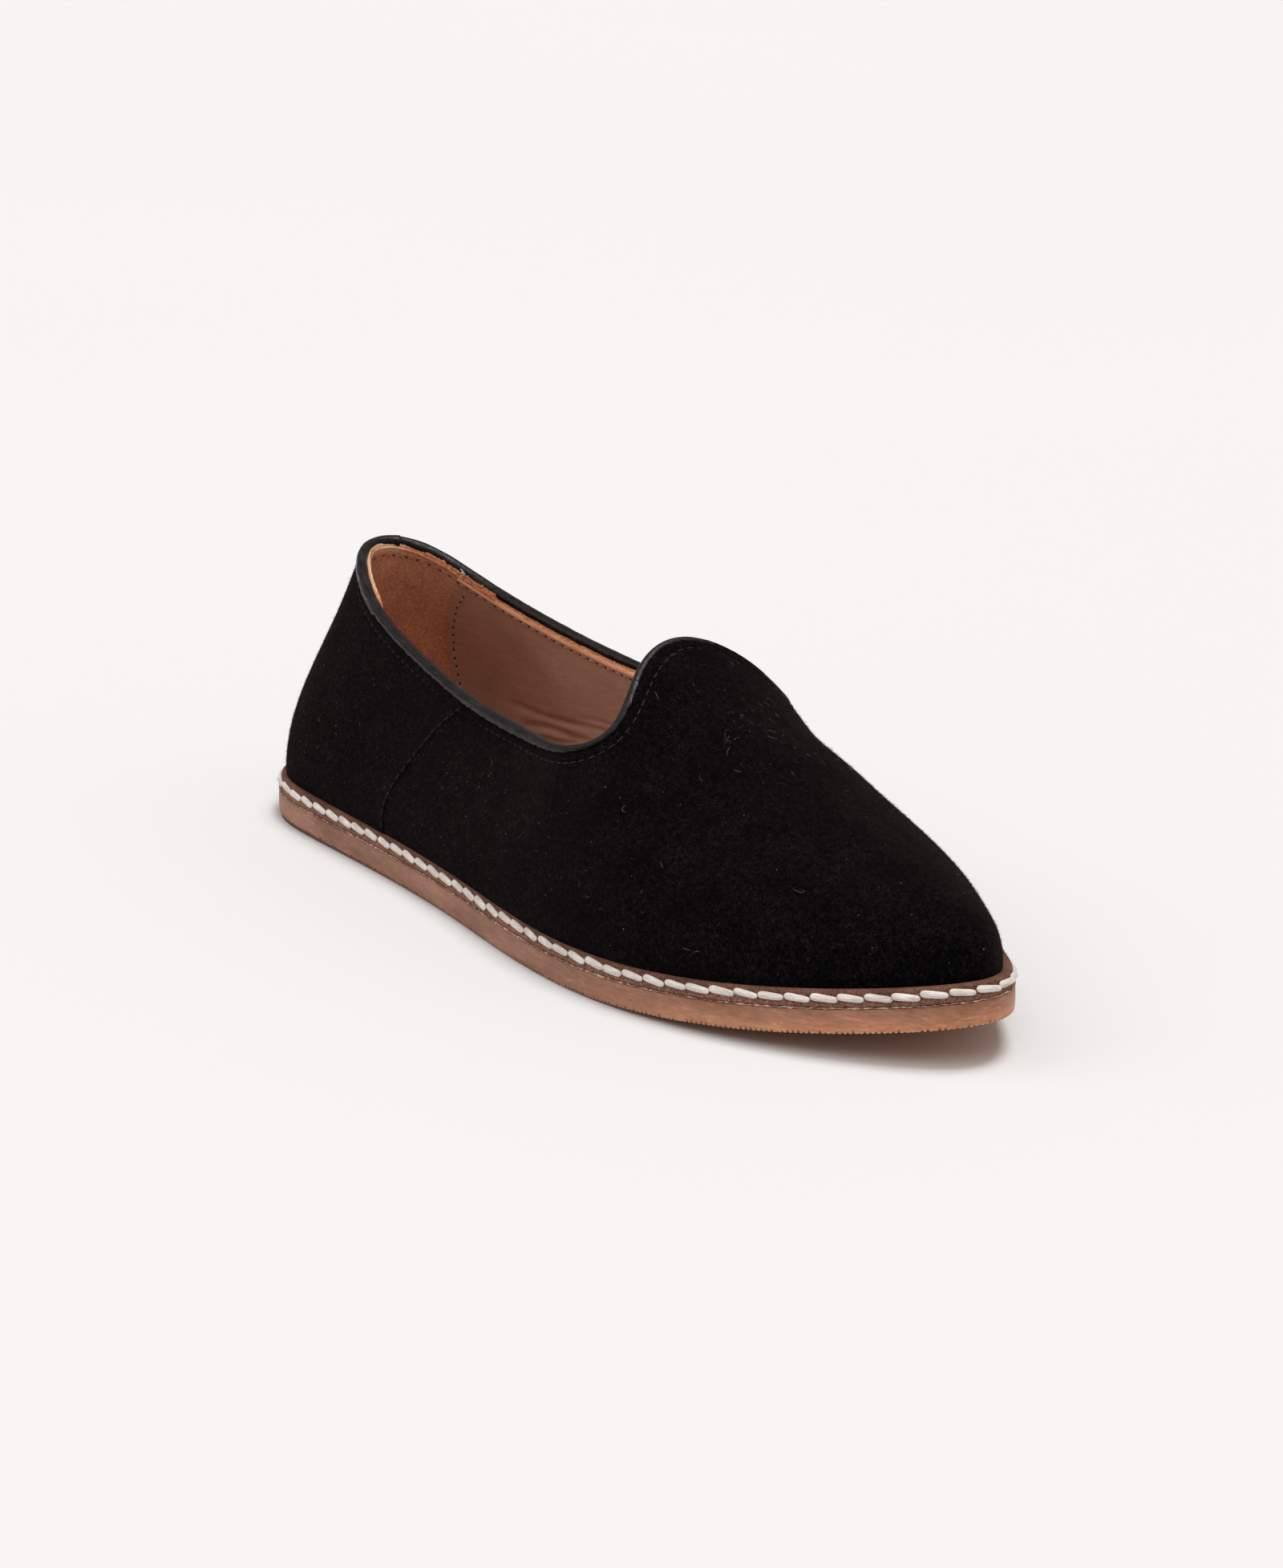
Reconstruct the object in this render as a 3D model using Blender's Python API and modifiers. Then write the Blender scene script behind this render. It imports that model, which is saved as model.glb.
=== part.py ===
"""Flat slip-on shoe for the right foot, standing on its sole.

X runs from the heel to the toe, Y to the medial (inner) side, Z up.  A gum outsole, a leather midsole whose
edge stands out as a welt, an insole, a hollow suede upper and a rolled collar binding.
"""

import math

import bmesh
import bpy
import numpy as np

MM = 0.001

# Driving dimensions, metres
LENGTH = 0.256
HEEL_RADIUS = 0.033
TOE_RADIUS = 0.0107
TOE_SPRING = 0.0103
SPRING_START = 0.60
OUTSOLE_HEEL = 0.0067
OUTSOLE_TOE = 0.0058
MIDSOLE_THICK = 0.0036
INSOLE_THICK = 0.0025
INSOLE_CLEAR = 0.0005
WALL = 0.0020
COUNTER_STEP = 0.0005
COUNTER_SEAM = 66.0
SEAM_HALF = 0.25
BEAD_RADIUS = 0.0019
BEAD_INSET = 0.0006
GAP = 0.0003

# How finely the forms are drawn
RIBS_PER_SIDE = 40
RIB_SAMPLES = 121
WALL_BANDS = 15
BAND_CROWDING = 1.35
BEAD_RESOLUTION = 2
SHARP_ANGLE = math.radians(35)

# Sole edge in millimetres: how far along from the heel, and the half width to each side of the
# line from the middle of the heel to the tip of the toe
OUTLINE_COLUMNS = ("along", "lateral", "medial")
OUTLINE = (
    (0.05, 28.2, 27.0),
    (0.13, 34.6, 32.4),
    (0.25, 36.2, 32.0),
    (0.42, 40.3, 31.0),
    (0.55, 45.2, 35.0),
    (0.68, 45.7, 40.0),
    (0.76, 41.9, 38.2),
    (0.86, 32.2, 30.2),
    (0.94, 19.8, 18.2),
)

# Ledge of the welt in millimetres: turn round the sole edge (degrees, 0 heel, 180 toe), and how far the
# upper stands inside that edge
LEDGE_COLUMNS = ("turn", "width")
LEDGES = ((0, 2.4), (30, 2.4), (50, 2.0), (75, 1.2), (105, 1.2), (130, 1.8), (150, 2.6), (180, 3.0))

# Ribs of the last in millimetres.  A rib leaves the sole edge at its turn (degrees, 0 heel, 180 toe) and climbs
# to the topline: rise and bulge place its lower handle, reach and drop its upper one.
RIB_COLUMNS = ("turn", "top_x", "top_half", "top_z", "rise", "bulge", "reach", "drop")
RIBS = (
    (0, 19.0, 0.0, 68.3, 20.0, 0.9, 5.5, 20.0),
    (18, 22.4, 8.0, 67.1, 20.0, 0.9, 5.5, 20.0),
    (32, 30.6, 13.6, 63.8, 19.0, 1.2, 5.2, 18.0),
    (45, 47.4, 19.0, 57.2, 17.0, 1.5, 5.0, 15.0),
    (57, 73.6, 23.3, 51.4, 14.0, 1.6, 4.0, 13.0),
    (66, 93.5, 26.0, 48.6, 13.0, 1.6, 3.5, 12.0),
    (77, 112.0, 27.5, 47.6, 13.0, 1.6, 4.0, 12.0),
    (88, 126.2, 28.7, 47.5, 13.0, 1.6, 5.0, 11.0),
    (99, 138.0, 30.3, 48.7, 14.0, 1.6, 8.0, 10.5),
    (110, 146.5, 28.8, 51.3, 15.5, 1.6, 15.0, 13.5),
    (122, 150.2, 24.6, 55.3, 17.5, 1.5, 25.0, 19.5),
    (136, 149.2, 19.2, 61.0, 19.5, 1.4, 38.0, 26.5),
    (150, 146.0, 13.0, 66.3, 21.8, 1.2, 50.0, 33.0),
    (165, 143.6, 6.3, 69.8, 23.6, 1.0, 57.0, 38.5),
    (180, 142.8, 0.0, 71.0, 24.5, 1.0, 59.5, 40.5),
)

# Side of each sole layer, from its underside up: inset from the sole edge in millimetres, and the share
# of the layer's height
SIDE_COLUMNS = ("inset", "share")
OUTSOLE_SIDE = ((1.0, 0.0), (0.1, 0.14), (0.0, 0.50), (0.1, 0.92), (0.5, 1.0))
MIDSOLE_SIDE = ((0.7, 0.0), (0.3, 0.12), (0.3, 0.55), (0.7, 0.82), (1.6, 1.0))
INSOLE_SIDE = ((0.0, 0.0), (0.0, 0.80), (0.4, 1.0))

# Finish of each piece: linear base colour, roughness
FINISHES = {
    "outsole": ((0.300, 0.150, 0.080), 0.45),
    "midsole": ((0.110, 0.045, 0.022), 0.70),
    "insole": ((0.200, 0.120, 0.075), 0.60),
    "upper": ((0.006, 0.005, 0.005), 0.95),
    "collar_binding": ((0.010, 0.010, 0.011), 0.42),
}


def ring_spline(turns, values):
    """Smooth cubic curve through values at turns, closed over 360 degrees."""
    turns = np.asarray(turns, float)
    values = np.asarray(values, float)
    count = len(turns)
    steps = np.diff(np.append(turns, turns[0] + 360))
    slopes = (np.roll(values, -1) - values) / steps
    matrix = np.zeros((count, count))
    for i in range(count):
        matrix[i, i - 1] = steps[i - 1]
        matrix[i, i] = 2 * (steps[i - 1] + steps[i])
        matrix[i, (i + 1) % count] = steps[i]
    bend = np.linalg.solve(matrix, 6 * (slopes - np.roll(slopes, 1)))

    def at(turn):
        turn = np.asarray(turn, float) % 360
        i = np.searchsorted(turns, turn, side="right") - 1
        j = (i + 1) % count
        ahead = (turn - turns[i]) / steps[i]
        behind = 1 - ahead
        sag = (behind ** 3 - behind) * bend[i] + (ahead ** 3 - ahead) * bend[j]
        return behind * values[i] + ahead * values[j] + sag * steps[i] ** 2 / 6

    return at


def both_sides(values, flip=1):
    """Carry a heel-to-toe list on round the medial side back to the heel."""
    values = list(values)
    return values + [flip * value for value in values[-2:0:-1]]


def round_again(turns):
    """The turns of a heel-to-toe list, carried on to the medial side."""
    turns = list(turns)
    return turns + [360 - turn for turn in turns[-2:0:-1]]


def width_curve(side):
    """Half width over the sine of the turn, which stays smooth round heel and toe."""
    turns = [0.0]
    widths = [math.sqrt(HEEL_RADIUS * LENGTH / 2)]
    for row in OUTLINE:
        station = dict(zip(OUTLINE_COLUMNS, row))
        angle = math.acos(1 - 2 * station["along"])
        turns.append(math.degrees(angle))
        widths.append(station[side] * MM / math.sin(angle))
    turns.append(180.0)
    widths.append(math.sqrt(TOE_RADIUS * LENGTH / 2))
    return ring_spline(round_again(turns), both_sides(widths))


def table_curves(table, columns):
    """One smooth curve round the shoe for each column of a table that starts with the turn."""
    rows = np.array(table)
    turns = round_again(rows[:, 0])
    curves = {}
    for name, values in list(zip(columns, rows.T))[1:]:
        flip = -1 if name == "top_half" else 1
        curves[name] = ring_spline(turns, both_sides(values * MM, flip))
    return curves


LATERAL = width_curve("lateral")
MEDIAL = width_curve("medial")
RIB = table_curves(RIBS, RIB_COLUMNS)
LEDGE = table_curves(LEDGES, LEDGE_COLUMNS)


def sole_edge(turn):
    """Plan point of the sole edge: the lateral side up to turn 180, the medial side after it."""
    turn = np.asarray(turn, float) % 360
    angle = np.radians(turn)
    width = np.where(turn <= 180, LATERAL(turn), MEDIAL(360 - turn))
    return np.stack([LENGTH / 2 * (1 - np.cos(angle)), -width * np.sin(angle)], axis=-1)


def outward(turn):
    """Plan direction square to the sole edge, away from the shoe."""
    turn = np.asarray(turn, float)
    nudge = 0.05
    run = sole_edge(turn + nudge) - sole_edge(turn - nudge)
    run /= np.linalg.norm(run, axis=-1, keepdims=True)
    return np.stack([run[..., 1], -run[..., 0]], axis=-1)


def inset_edge(turn, inset):
    """Plan point at a distance inside the sole edge."""
    return sole_edge(turn) - inset * outward(turn)


def ledge(turn):
    """Width of the welt's ledge, ready to scale plan directions."""
    return LEDGE["width"](turn)[..., None]


def floor_line(x):
    """Height of the underside: flat from the heel to the ball, then sprung up to the toe."""
    past = np.clip((x / LENGTH - SPRING_START) / (1 - SPRING_START), 0, None)
    return TOE_SPRING * past ** 2


def outsole_top(x):
    return floor_line(x) + OUTSOLE_HEEL + (OUTSOLE_TOE - OUTSOLE_HEEL) * x / LENGTH


def midsole_base(x):
    return outsole_top(x) + GAP


def midsole_top(x):
    return midsole_base(x) + MIDSOLE_THICK


def insole_base(x):
    return midsole_top(x) + GAP


def insole_top(x):
    return insole_base(x) + INSOLE_THICK


def with_height(plan, height):
    """Plan points lifted to a height that depends on how far along they are."""
    return np.concatenate([plan, height(plan[..., :1])], axis=-1)


def topline(turn):
    return np.stack([RIB["top_x"](turn), -RIB["top_half"](turn), RIB["top_z"](turn)], axis=-1)


def last_point(turn, climb):
    """Point on the outside of the last: climb 0 at the sole, 1 at the topline."""
    turn, climb = np.broadcast_arrays(np.asarray(turn, float), np.asarray(climb, float))
    climb = climb[..., None]
    up = np.array([0.0, 0.0, 1.0])
    foot = with_height(inset_edge(turn, ledge(turn)), insole_base)
    top = topline(turn)
    away = (foot - top) * (1, 1, 0)
    away /= np.linalg.norm(away, axis=-1, keepdims=True)
    side = np.concatenate([outward(turn), np.zeros(turn.shape + (1,))], axis=-1)
    low = foot + RIB["bulge"](turn)[..., None] * side + RIB["rise"](turn)[..., None] * up
    high = top + RIB["reach"](turn)[..., None] * away - RIB["drop"](turn)[..., None] * up
    left = 1 - climb
    return left ** 3 * foot + 3 * left ** 2 * climb * low + 3 * left * climb ** 2 * high + climb ** 3 * top


def last_normal(turn, climb):
    """Direction square to the last, away from the foot."""
    nudge_turn = 0.05
    nudge_climb = 0.002
    climb = np.clip(climb, nudge_climb, 1 - nudge_climb)
    around = last_point(turn + nudge_turn, climb) - last_point(turn - nudge_turn, climb)
    upward = last_point(turn, climb + nudge_climb) - last_point(turn, climb - nudge_climb)
    normal = np.cross(around, upward)
    return normal / np.linalg.norm(normal, axis=-1, keepdims=True)


def counter_lift(turn):
    """The heel counter lies over the upper: its height, with a short edge at the seam."""
    from_heel = 180 - np.abs(np.asarray(turn, float) % 360 - 180)
    share = np.clip((COUNTER_SEAM + SEAM_HALF - from_heel) / (2 * SEAM_HALF), 0, 1)
    return COUNTER_STEP * share


def even_climbs(turn, trim, shares):
    """Climbs at given shares of a rib's length, stopping short of the topline by trim, square to it."""
    fine = np.linspace(0, 1, RIB_SAMPLES)
    points = last_point(turn, fine)
    runs = np.concatenate([[0], np.cumsum(np.linalg.norm(np.diff(points, axis=0), axis=1))])
    nudge = 0.5
    rim = topline(turn + nudge) - topline(turn - nudge)
    end = points[-1] - points[-2]
    skew = np.linalg.norm(np.cross(rim, end)) / np.linalg.norm(rim) / np.linalg.norm(end)
    return np.interp(shares * (runs[-1] - trim / skew), runs, fine)


def plain_turns():
    return np.arange(2 * RIBS_PER_SIDE) * 180 / RIBS_PER_SIDE


def upper_turns():
    """Even turns, and a close pair on each counter seam so that its step is short."""
    seams = [COUNTER_SEAM - SEAM_HALF, COUNTER_SEAM + SEAM_HALF]
    return np.sort(np.concatenate([plain_turns(), seams, [360 - seam for seam in seams]]))


def finish(name):
    """Plain shaded material of a piece."""
    colour, roughness = FINISHES[name]
    material = bpy.data.materials.new(name)
    material.use_nodes = True
    shader = material.node_tree.nodes["Principled BSDF"]
    shader.inputs["Base Color"].default_value = (*colour, 1.0)
    shader.inputs["Roughness"].default_value = roughness
    shader.inputs["Metallic"].default_value = 0.0
    return material


def place(name, data, collection, root):
    """Put a piece in the collection, on the shoe's root, with its own material."""
    piece = bpy.data.objects.new(name, data)
    collection.objects.link(piece)
    piece.parent = root
    data.materials.append(finish(name))
    return piece


def loft(name, rings, capped):
    """Mesh through closed rings of points, the first lowest, with ladder caps across the first and last."""
    bm = bmesh.new()
    loops = [[bm.verts.new(point) for point in ring] for ring in rings]
    count = len(loops[0])
    for lower, higher in zip(loops, loops[1:]):
        for i in range(count):
            j = (i + 1) % count
            bm.faces.new((lower[i], lower[j], higher[j], higher[i]))
    if capped:
        for loop in (loops[0], loops[-1]):
            for i in range(count // 2):
                corners = (loop[i], loop[i + 1], loop[-i - 1], loop[-i % count])
                bm.faces.new(tuple(dict.fromkeys(corners)))
        bmesh.ops.recalc_face_normals(bm, faces=bm.faces)
    mesh = bpy.data.meshes.new(name)
    bm.to_mesh(mesh)
    bm.free()
    mesh.shade_smooth()
    mesh.set_sharp_from_angle(angle=SHARP_ANGLE)
    return mesh


def sole_layer(name, side, extra_inset, base, top):
    """Plate that follows the sole edge, with its side drawn by a table of insets and heights."""
    rings = []
    for row in side:
        step = dict(zip(SIDE_COLUMNS, row))
        plan = inset_edge(plain_turns(), extra_inset + step["inset"] * MM)
        low = with_height(plan, base)
        high = with_height(plan, top)
        rings.append(low + step["share"] * (high - low))
    return loft(name, rings, capped=True)


def upper_shell():
    """Outside of the upper, open at the collar and underneath; the wall is added inward."""
    turns = upper_turns()
    shares = np.linspace(0, 1, WALL_BANDS + 1) ** BAND_CROWDING
    trim = BEAD_RADIUS + GAP
    climbs = np.array([even_climbs(turn, trim, shares) for turn in turns])
    rings = []
    for band in range(WALL_BANDS + 1):
        climb = climbs[:, band]
        lift = counter_lift(turns)[:, None] * last_normal(turns, climb)
        rings.append(last_point(turns, climb) + lift)
    return loft("upper", rings, capped=False)


def add_wall(piece):
    wall = piece.modifiers.new("wall", "SOLIDIFY")
    wall.thickness = WALL
    wall.offset = -1.0
    wall.use_even_offset = True
    wall.use_quality_normals = True
    wall.use_rim = True


def binding_curve():
    """Rolled binding: a bead on the topline, a little inside the outer face of the wall."""
    turns = plain_turns()
    route = topline(turns) - BEAD_INSET * last_normal(turns, np.ones(len(turns)))
    curve = bpy.data.curves.new("collar_binding", "CURVE")
    curve.dimensions = "3D"
    curve.bevel_depth = BEAD_RADIUS
    curve.bevel_resolution = BEAD_RESOLUTION
    loop = curve.splines.new("POLY")
    loop.points.add(len(route) - 1)
    for point, place_on in zip(loop.points, route):
        point.co = (*place_on, 1.0)
    loop.use_cyclic_u = True
    return curve


def main():
    for old in list(bpy.data.objects):
        bpy.data.objects.remove(old)
    shoe = bpy.data.collections.new("flat_slip_on_shoe")
    bpy.context.scene.collection.children.link(shoe)
    edge = sole_edge(plain_turns())
    middle = (edge.min(axis=0) + edge.max(axis=0)) / 2
    root = bpy.data.objects.new("shoe_root", None)
    root.location = (-middle[0], -middle[1], 0.0)
    shoe.objects.link(root)

    place("outsole", sole_layer("outsole", OUTSOLE_SIDE, 0.0, floor_line, outsole_top), shoe, root)
    place("midsole", sole_layer("midsole", MIDSOLE_SIDE, 0.0, midsole_base, midsole_top), shoe, root)
    insole_inset = ledge(plain_turns()) + WALL + INSOLE_CLEAR
    place("insole", sole_layer("insole", INSOLE_SIDE, insole_inset, insole_base, insole_top), shoe, root)
    add_wall(place("upper", upper_shell(), shoe, root))
    place("collar_binding", binding_curve(), shoe, root)


main()
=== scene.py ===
"""Looks of the flat slip-on shoe: black suede, lining leather, waxed thread and gum rubber.

The last and the sole edge have the same shape as the solids in the frame. They are worked out in heel
coordinates, in metres: x from the heel end to the toe, y to the medial (inner) side, z up from the floor.
A turn goes round the shoe in degrees: 0 at the heel, along the lateral side to 180 at the toe, and back on
the medial side. A climb goes up the last: 0 at the sole, 1 at the topline.
"""

import math

import bpy
import numpy as np
from mathutils import Matrix, Vector


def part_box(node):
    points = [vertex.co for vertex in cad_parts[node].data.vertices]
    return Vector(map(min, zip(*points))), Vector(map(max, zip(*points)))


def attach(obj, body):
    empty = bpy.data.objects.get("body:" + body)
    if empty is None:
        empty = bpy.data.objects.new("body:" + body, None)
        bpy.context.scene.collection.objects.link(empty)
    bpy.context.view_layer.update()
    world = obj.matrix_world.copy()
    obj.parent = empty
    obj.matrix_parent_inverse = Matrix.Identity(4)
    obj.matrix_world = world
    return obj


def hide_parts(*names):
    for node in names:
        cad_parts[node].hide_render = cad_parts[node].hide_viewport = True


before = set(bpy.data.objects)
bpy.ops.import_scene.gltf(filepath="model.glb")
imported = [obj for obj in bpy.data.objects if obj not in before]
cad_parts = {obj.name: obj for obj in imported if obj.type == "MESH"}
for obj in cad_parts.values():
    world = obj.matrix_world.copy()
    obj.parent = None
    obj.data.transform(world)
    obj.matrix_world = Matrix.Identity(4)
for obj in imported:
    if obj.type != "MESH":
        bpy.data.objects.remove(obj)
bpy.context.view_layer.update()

MM = 0.001
UP = np.array([0.0, 0.0, 1.0])
FINE_STEPS = 6001
SOLE_LOW, SOLE_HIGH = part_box("outsole")

# Driving dimensions of the last and the sole
LENGTH = SOLE_HIGH.x - SOLE_LOW.x
HEEL_RADIUS = 0.033
TOE_RADIUS = 0.0107
TOE_SPRING = 0.0103
SPRING_START = 0.60
OUTSOLE_HEEL = 0.0067
OUTSOLE_TOE = 0.0058
MIDSOLE_THICK = 0.0036
INSOLE_THICK = 0.0025
WALL = 0.0020
GAP = 0.0003

# Sole edge in millimetres: share of the length from the heel, half width to each side
OUTLINE_COLUMNS = ("along", "lateral", "medial")
OUTLINE = (
    (0.05, 28.2, 27.0),
    (0.13, 34.6, 32.4),
    (0.25, 36.2, 32.0),
    (0.42, 40.3, 31.0),
    (0.55, 45.2, 35.0),
    (0.68, 45.7, 40.0),
    (0.76, 41.9, 38.2),
    (0.86, 32.2, 30.2),
    (0.94, 19.8, 18.2),
)

# Ledge of the welt in millimetres: by turn, how far the upper stands inside the sole edge
LEDGE_COLUMNS = ("turn", "width")
LEDGES = ((0, 2.4), (30, 2.4), (50, 2.0), (75, 1.2), (105, 1.2), (130, 1.8), (150, 2.6), (180, 3.0))

# Ribs of the last in millimetres: turn, the top point, then the lower and upper handles
RIB_COLUMNS = ("turn", "top_x", "top_half", "top_z", "rise", "bulge", "reach", "drop")
RIBS = (
    (0, 19.0, 0.0, 68.3, 20.0, 0.9, 5.5, 20.0),
    (18, 22.4, 8.0, 67.1, 20.0, 0.9, 5.5, 20.0),
    (32, 30.6, 13.6, 63.8, 19.0, 1.2, 5.2, 18.0),
    (45, 47.4, 19.0, 57.2, 17.0, 1.5, 5.0, 15.0),
    (57, 73.6, 23.3, 51.4, 14.0, 1.6, 4.0, 13.0),
    (66, 93.5, 26.0, 48.6, 13.0, 1.6, 3.5, 12.0),
    (77, 112.0, 27.5, 47.6, 13.0, 1.6, 4.0, 12.0),
    (88, 126.2, 28.7, 47.5, 13.0, 1.6, 5.0, 11.0),
    (99, 138.0, 30.3, 48.7, 14.0, 1.6, 8.0, 10.5),
    (110, 146.5, 28.8, 51.3, 15.5, 1.6, 15.0, 13.5),
    (122, 150.2, 24.6, 55.3, 17.5, 1.5, 25.0, 19.5),
    (136, 149.2, 19.2, 61.0, 19.5, 1.4, 38.0, 26.5),
    (150, 146.0, 13.0, 66.3, 21.8, 1.2, 50.0, 33.0),
    (165, 143.6, 6.3, 69.8, 23.6, 1.0, 57.0, 38.5),
    (180, 142.8, 0.0, 71.0, 24.5, 1.0, 59.5, 40.5),
)

# Side of each sole layer from its underside up: inset from the sole edge in millimetres, share of the height
SIDE_COLUMNS = ("inset", "share")
OUTSOLE_SIDE = (
    (1.90, 0.00), (0.52, 0.00), (0.36, 0.00), (0.20, 0.00), (0.10, 0.04), (0.03, 0.20), (0.00, 0.50),
    (0.03, 0.75), (0.10, 0.90), (0.25, 0.97), (0.70, 1.00),
)
WELT_SIDE = (
    (0.90, 0.00), (0.45, 0.04), (0.30, 0.10), (0.28, 0.20), (0.32, 0.30), (0.56, 0.40), (0.80, 0.54),
    (0.96, 0.72), (0.72, 0.80), (0.82, 0.88), (1.05, 0.94), (1.40, 0.98), (2.00, 1.00), (4.60, 1.00),
)
WELT_ROUGH_ROWS = slice(1, 8)
WELT_ROUGH = 0.05 * MM

# Tread: height of its set-back strip at the heel and further forward, where its high part ends, and its teeth
TREAD_HEEL = 0.0011
TREAD_FRONT = 0.00015
TREAD_END = 0.145
TEETH_PER_SIDE = 230
TOOTH_SAMPLES = 8
TOOTH_DEPTH = 0.00046
TOOTH_DEPTH_TOE = 0.00066
TOOTH_SPREAD = (0.1, 1.3)

# Rows of OUTSOLE_SIDE: the strip's first and last, and shares of its height and its teeth that rows take
TREAD_BASE, TREAD_LIP = 1, 3
TREAD_LIFTS = {2: 1.0, 3: 1.0, 4: 1.0, 5: 0.6}
TOOTH_CUTS = {2: 1.0, 3: 1.0, 4: 0.8}

# Sole stitching and the rubbed joint below it
WELT_STITCH_PITCH = 0.0062
WELT_STITCH_HALF = (0.00314, 0.00086, 0.00056)
WELT_STITCH_HEIGHT = 0.0021
WELT_STITCH_INSET = 0.00055
WELT_STITCH_PROUD = 0.18 * MM
WELT_STITCH_TILT = math.radians(30)
WELT_STITCH_SLANT = math.radians(7)
THREAD_STREAK = (0.9, 4.5, 4.5)
BURR_INSET = 0.00026
BURR_FLAT = 0.8

# Leather sock: how high and over what width its edge is cupped
SOCK_CUP = 1.4 * MM
SOCK_CUP_WIDTH = 9 * MM

# Upper: suede, the rows and columns of its mesh, its stitch groove and its unevenness
SUEDE_THICK = 0.0011
SUEDE_TRIM = 0.0003
RIM_ROWS = 27
RIM_STEP = 0.0004
WALL_ROWS = 76
UPPER_COLUMNS = 470
INNER_STEP = 5
FOOT_ROWS = 3
GROOVE_DEEP = 0.22 * MM
GROOVE_WIDTH = 0.5 * MM
SUEDE_UNEVEN = 0.10 * MM

# Nap, sizes in millimetres; a share of its fibres strays and is longer by a factor
NAP_COUNT = 48000
NAP_LENGTHS = (0.40, 1.05)
NAP_STRAY = 0.05
NAP_STRAY_LONGER = 1.8
NAP_HALF = 0.034
NAP_ROOT = 0.05
NAP_THICK = 0.045

# Heel counter: its step, and half width, middle and reach of its seam in degrees of turn
COUNTER_STEP = 0.0003
SEAM_HALF = 0.25
SEAM_MIDDLE = 63.5
SEAM_REACH = 20.0

# Lining: its cut edge below the topline, rows of its mesh, its overlap, and its tuck in degrees of turn
LINING_TOP = 0.0020
LINING_BEVEL = 0.0009
LINING_BEVEL_DEEP = 0.00048
LINING_ROWS = 64
LINING_LAP = 0.00042
LINING_TUCK = 6.0
HEEL_LINING_LENGTH = 54 * MM

# Sewing: rows by distance from the topline, pitches, and distances from a seam in degrees of turn
COLLAR_ROW = 0.0036
COLLAR_PITCH = 0.0027
LINING_ROW = 0.0038
LINING_PITCH = 0.0031
SEAM_TOP = 0.0022
SEAM_PITCH = 0.0026
SEAM_STITCH_SET = 0.40
LINING_SEAM_SET = 1.9

# By turn, how far the collar row sinks in millimetres
COLLAR_SINKS = ((0.0, 0.32), (92.0, 0.32), (108.0, 0.12), (360.0, 0.12))

# Half sizes of stitches and needle holes, and where each lies in its pitch
COLLAR_STITCH_HALF = (0.00090, 0.00019, 0.00018)
SEAM_STITCH_HALF = (0.00095, 0.00017, 0.00016)
LINING_STITCH_HALF = (0.00085, 0.00027, 0.00022)
LINING_HOLE_HALF = (0.00042, 0.00030, 0.00009)
STITCH_SHIFT = 0.5
HOLE_SHIFT = 0.92

# Seam of the heel counter, turn by climb, and of the heel lining, turn by millimetres below the topline
COUNTER_SEAM = (
    (0.0, 63.8), (0.15, 63.3), (0.30, 63.3), (0.55, 63.6), (0.72, 63.8), (0.82, 64.6), (1.0, 67.0),
)
LINING_SEAM = ((0.0, 36.0), (7.0, 34.6), (13.0, 31.4), (21.0, 28.6), (29.0, 27.2), (36.0, 27.4), (52.0, 29.0))

# Creases low on the medial lining: ends by turn and depth on the heel's rib, and the fold, in millimetres
CREASE_COLUMNS = ("turn_1", "depth_1", "turn_2", "depth_2", "half", "deep")
LINING_CREASES = (
    (318.0, 40.0, 296.0, 31.0, 1.4, 0.50),
    (315.0, 45.0, 297.0, 35.5, 1.6, 0.80),
    (311.0, 48.0, 299.0, 40.0, 1.6, 0.80),
    (308.0, 36.0, 290.0, 25.5, 1.3, 0.35),
    (303.0, 30.0, 288.0, 20.0, 1.1, 0.30),
)

# Rolled binding: section in millimetres out from the last and up off the wall
BINDING_MIDDLE = -0.75
BINDING = (
    (0.34, -1.50), (0.62, -1.00), (0.66, -0.15), (0.35, 0.55), (-0.30, 0.92),
    (-1.05, 0.95), (-1.80, 0.55), (-2.15, -0.25), (-1.85, -1.15), (-0.70, -1.45),
)

# By turn, factors for the reach of its outer lip and for its fullness
LIP_COLUMNS = ("turn", "lip", "girth")
LIPS = (
    (0.0, 1.10, 1.00), (42.8, 1.15, 1.00), (43.6, 0.74, 1.03), (62.0, 0.76, 1.04), (77.0, 1.15, 1.00),
    (88.0, 1.00, 0.98), (99.0, 0.86, 0.95), (110.0, 0.64, 0.92), (136.0, 0.84, 0.86), (150.0, 0.70, 0.82),
    (180.0, 0.60, 0.72), (210.0, 0.70, 0.72), (250.0, 0.90, 0.90), (300.0, 1.00, 1.00), (347.4, 1.00, 1.00),
    (348.0, 0.88, 0.80), (348.6, 1.10, 1.20), (353.0, 1.08, 1.04), (360.0, 1.10, 1.00),
)

# By turn, how far binding and raw edges stand above the topline in millimetres
RIM_LIFTS = (
    (0.0, 0.0), (43.0, 0.08), (60.0, 0.25), (77.0, 0.18), (88.0, 0.02), (99.0, 0.05), (122.0, 0.10),
    (136.0, 0.08), (150.0, 0.30), (165.0, 0.15), (180.0, -0.40), (195.0, -0.58), (210.0, -0.60),
    (250.0, -0.60), (300.0, -0.65), (330.0, -0.50), (348.0, -0.12),
)

# Raw leather edges inside the binding: sections in millimetres out from the last and up off the wall
EDGE_LAYERS = (
    ((-1.55, -3.20), (-1.60, -0.40), (-1.90, -0.30), (-2.10, -0.60), (-2.20, -1.20), (-2.15, -3.20)),
    ((-2.00, -3.20), (-2.10, -1.15), (-2.30, -1.05), (-2.46, -1.35), (-2.38, -1.90), (-2.08, -3.20)),
)

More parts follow.
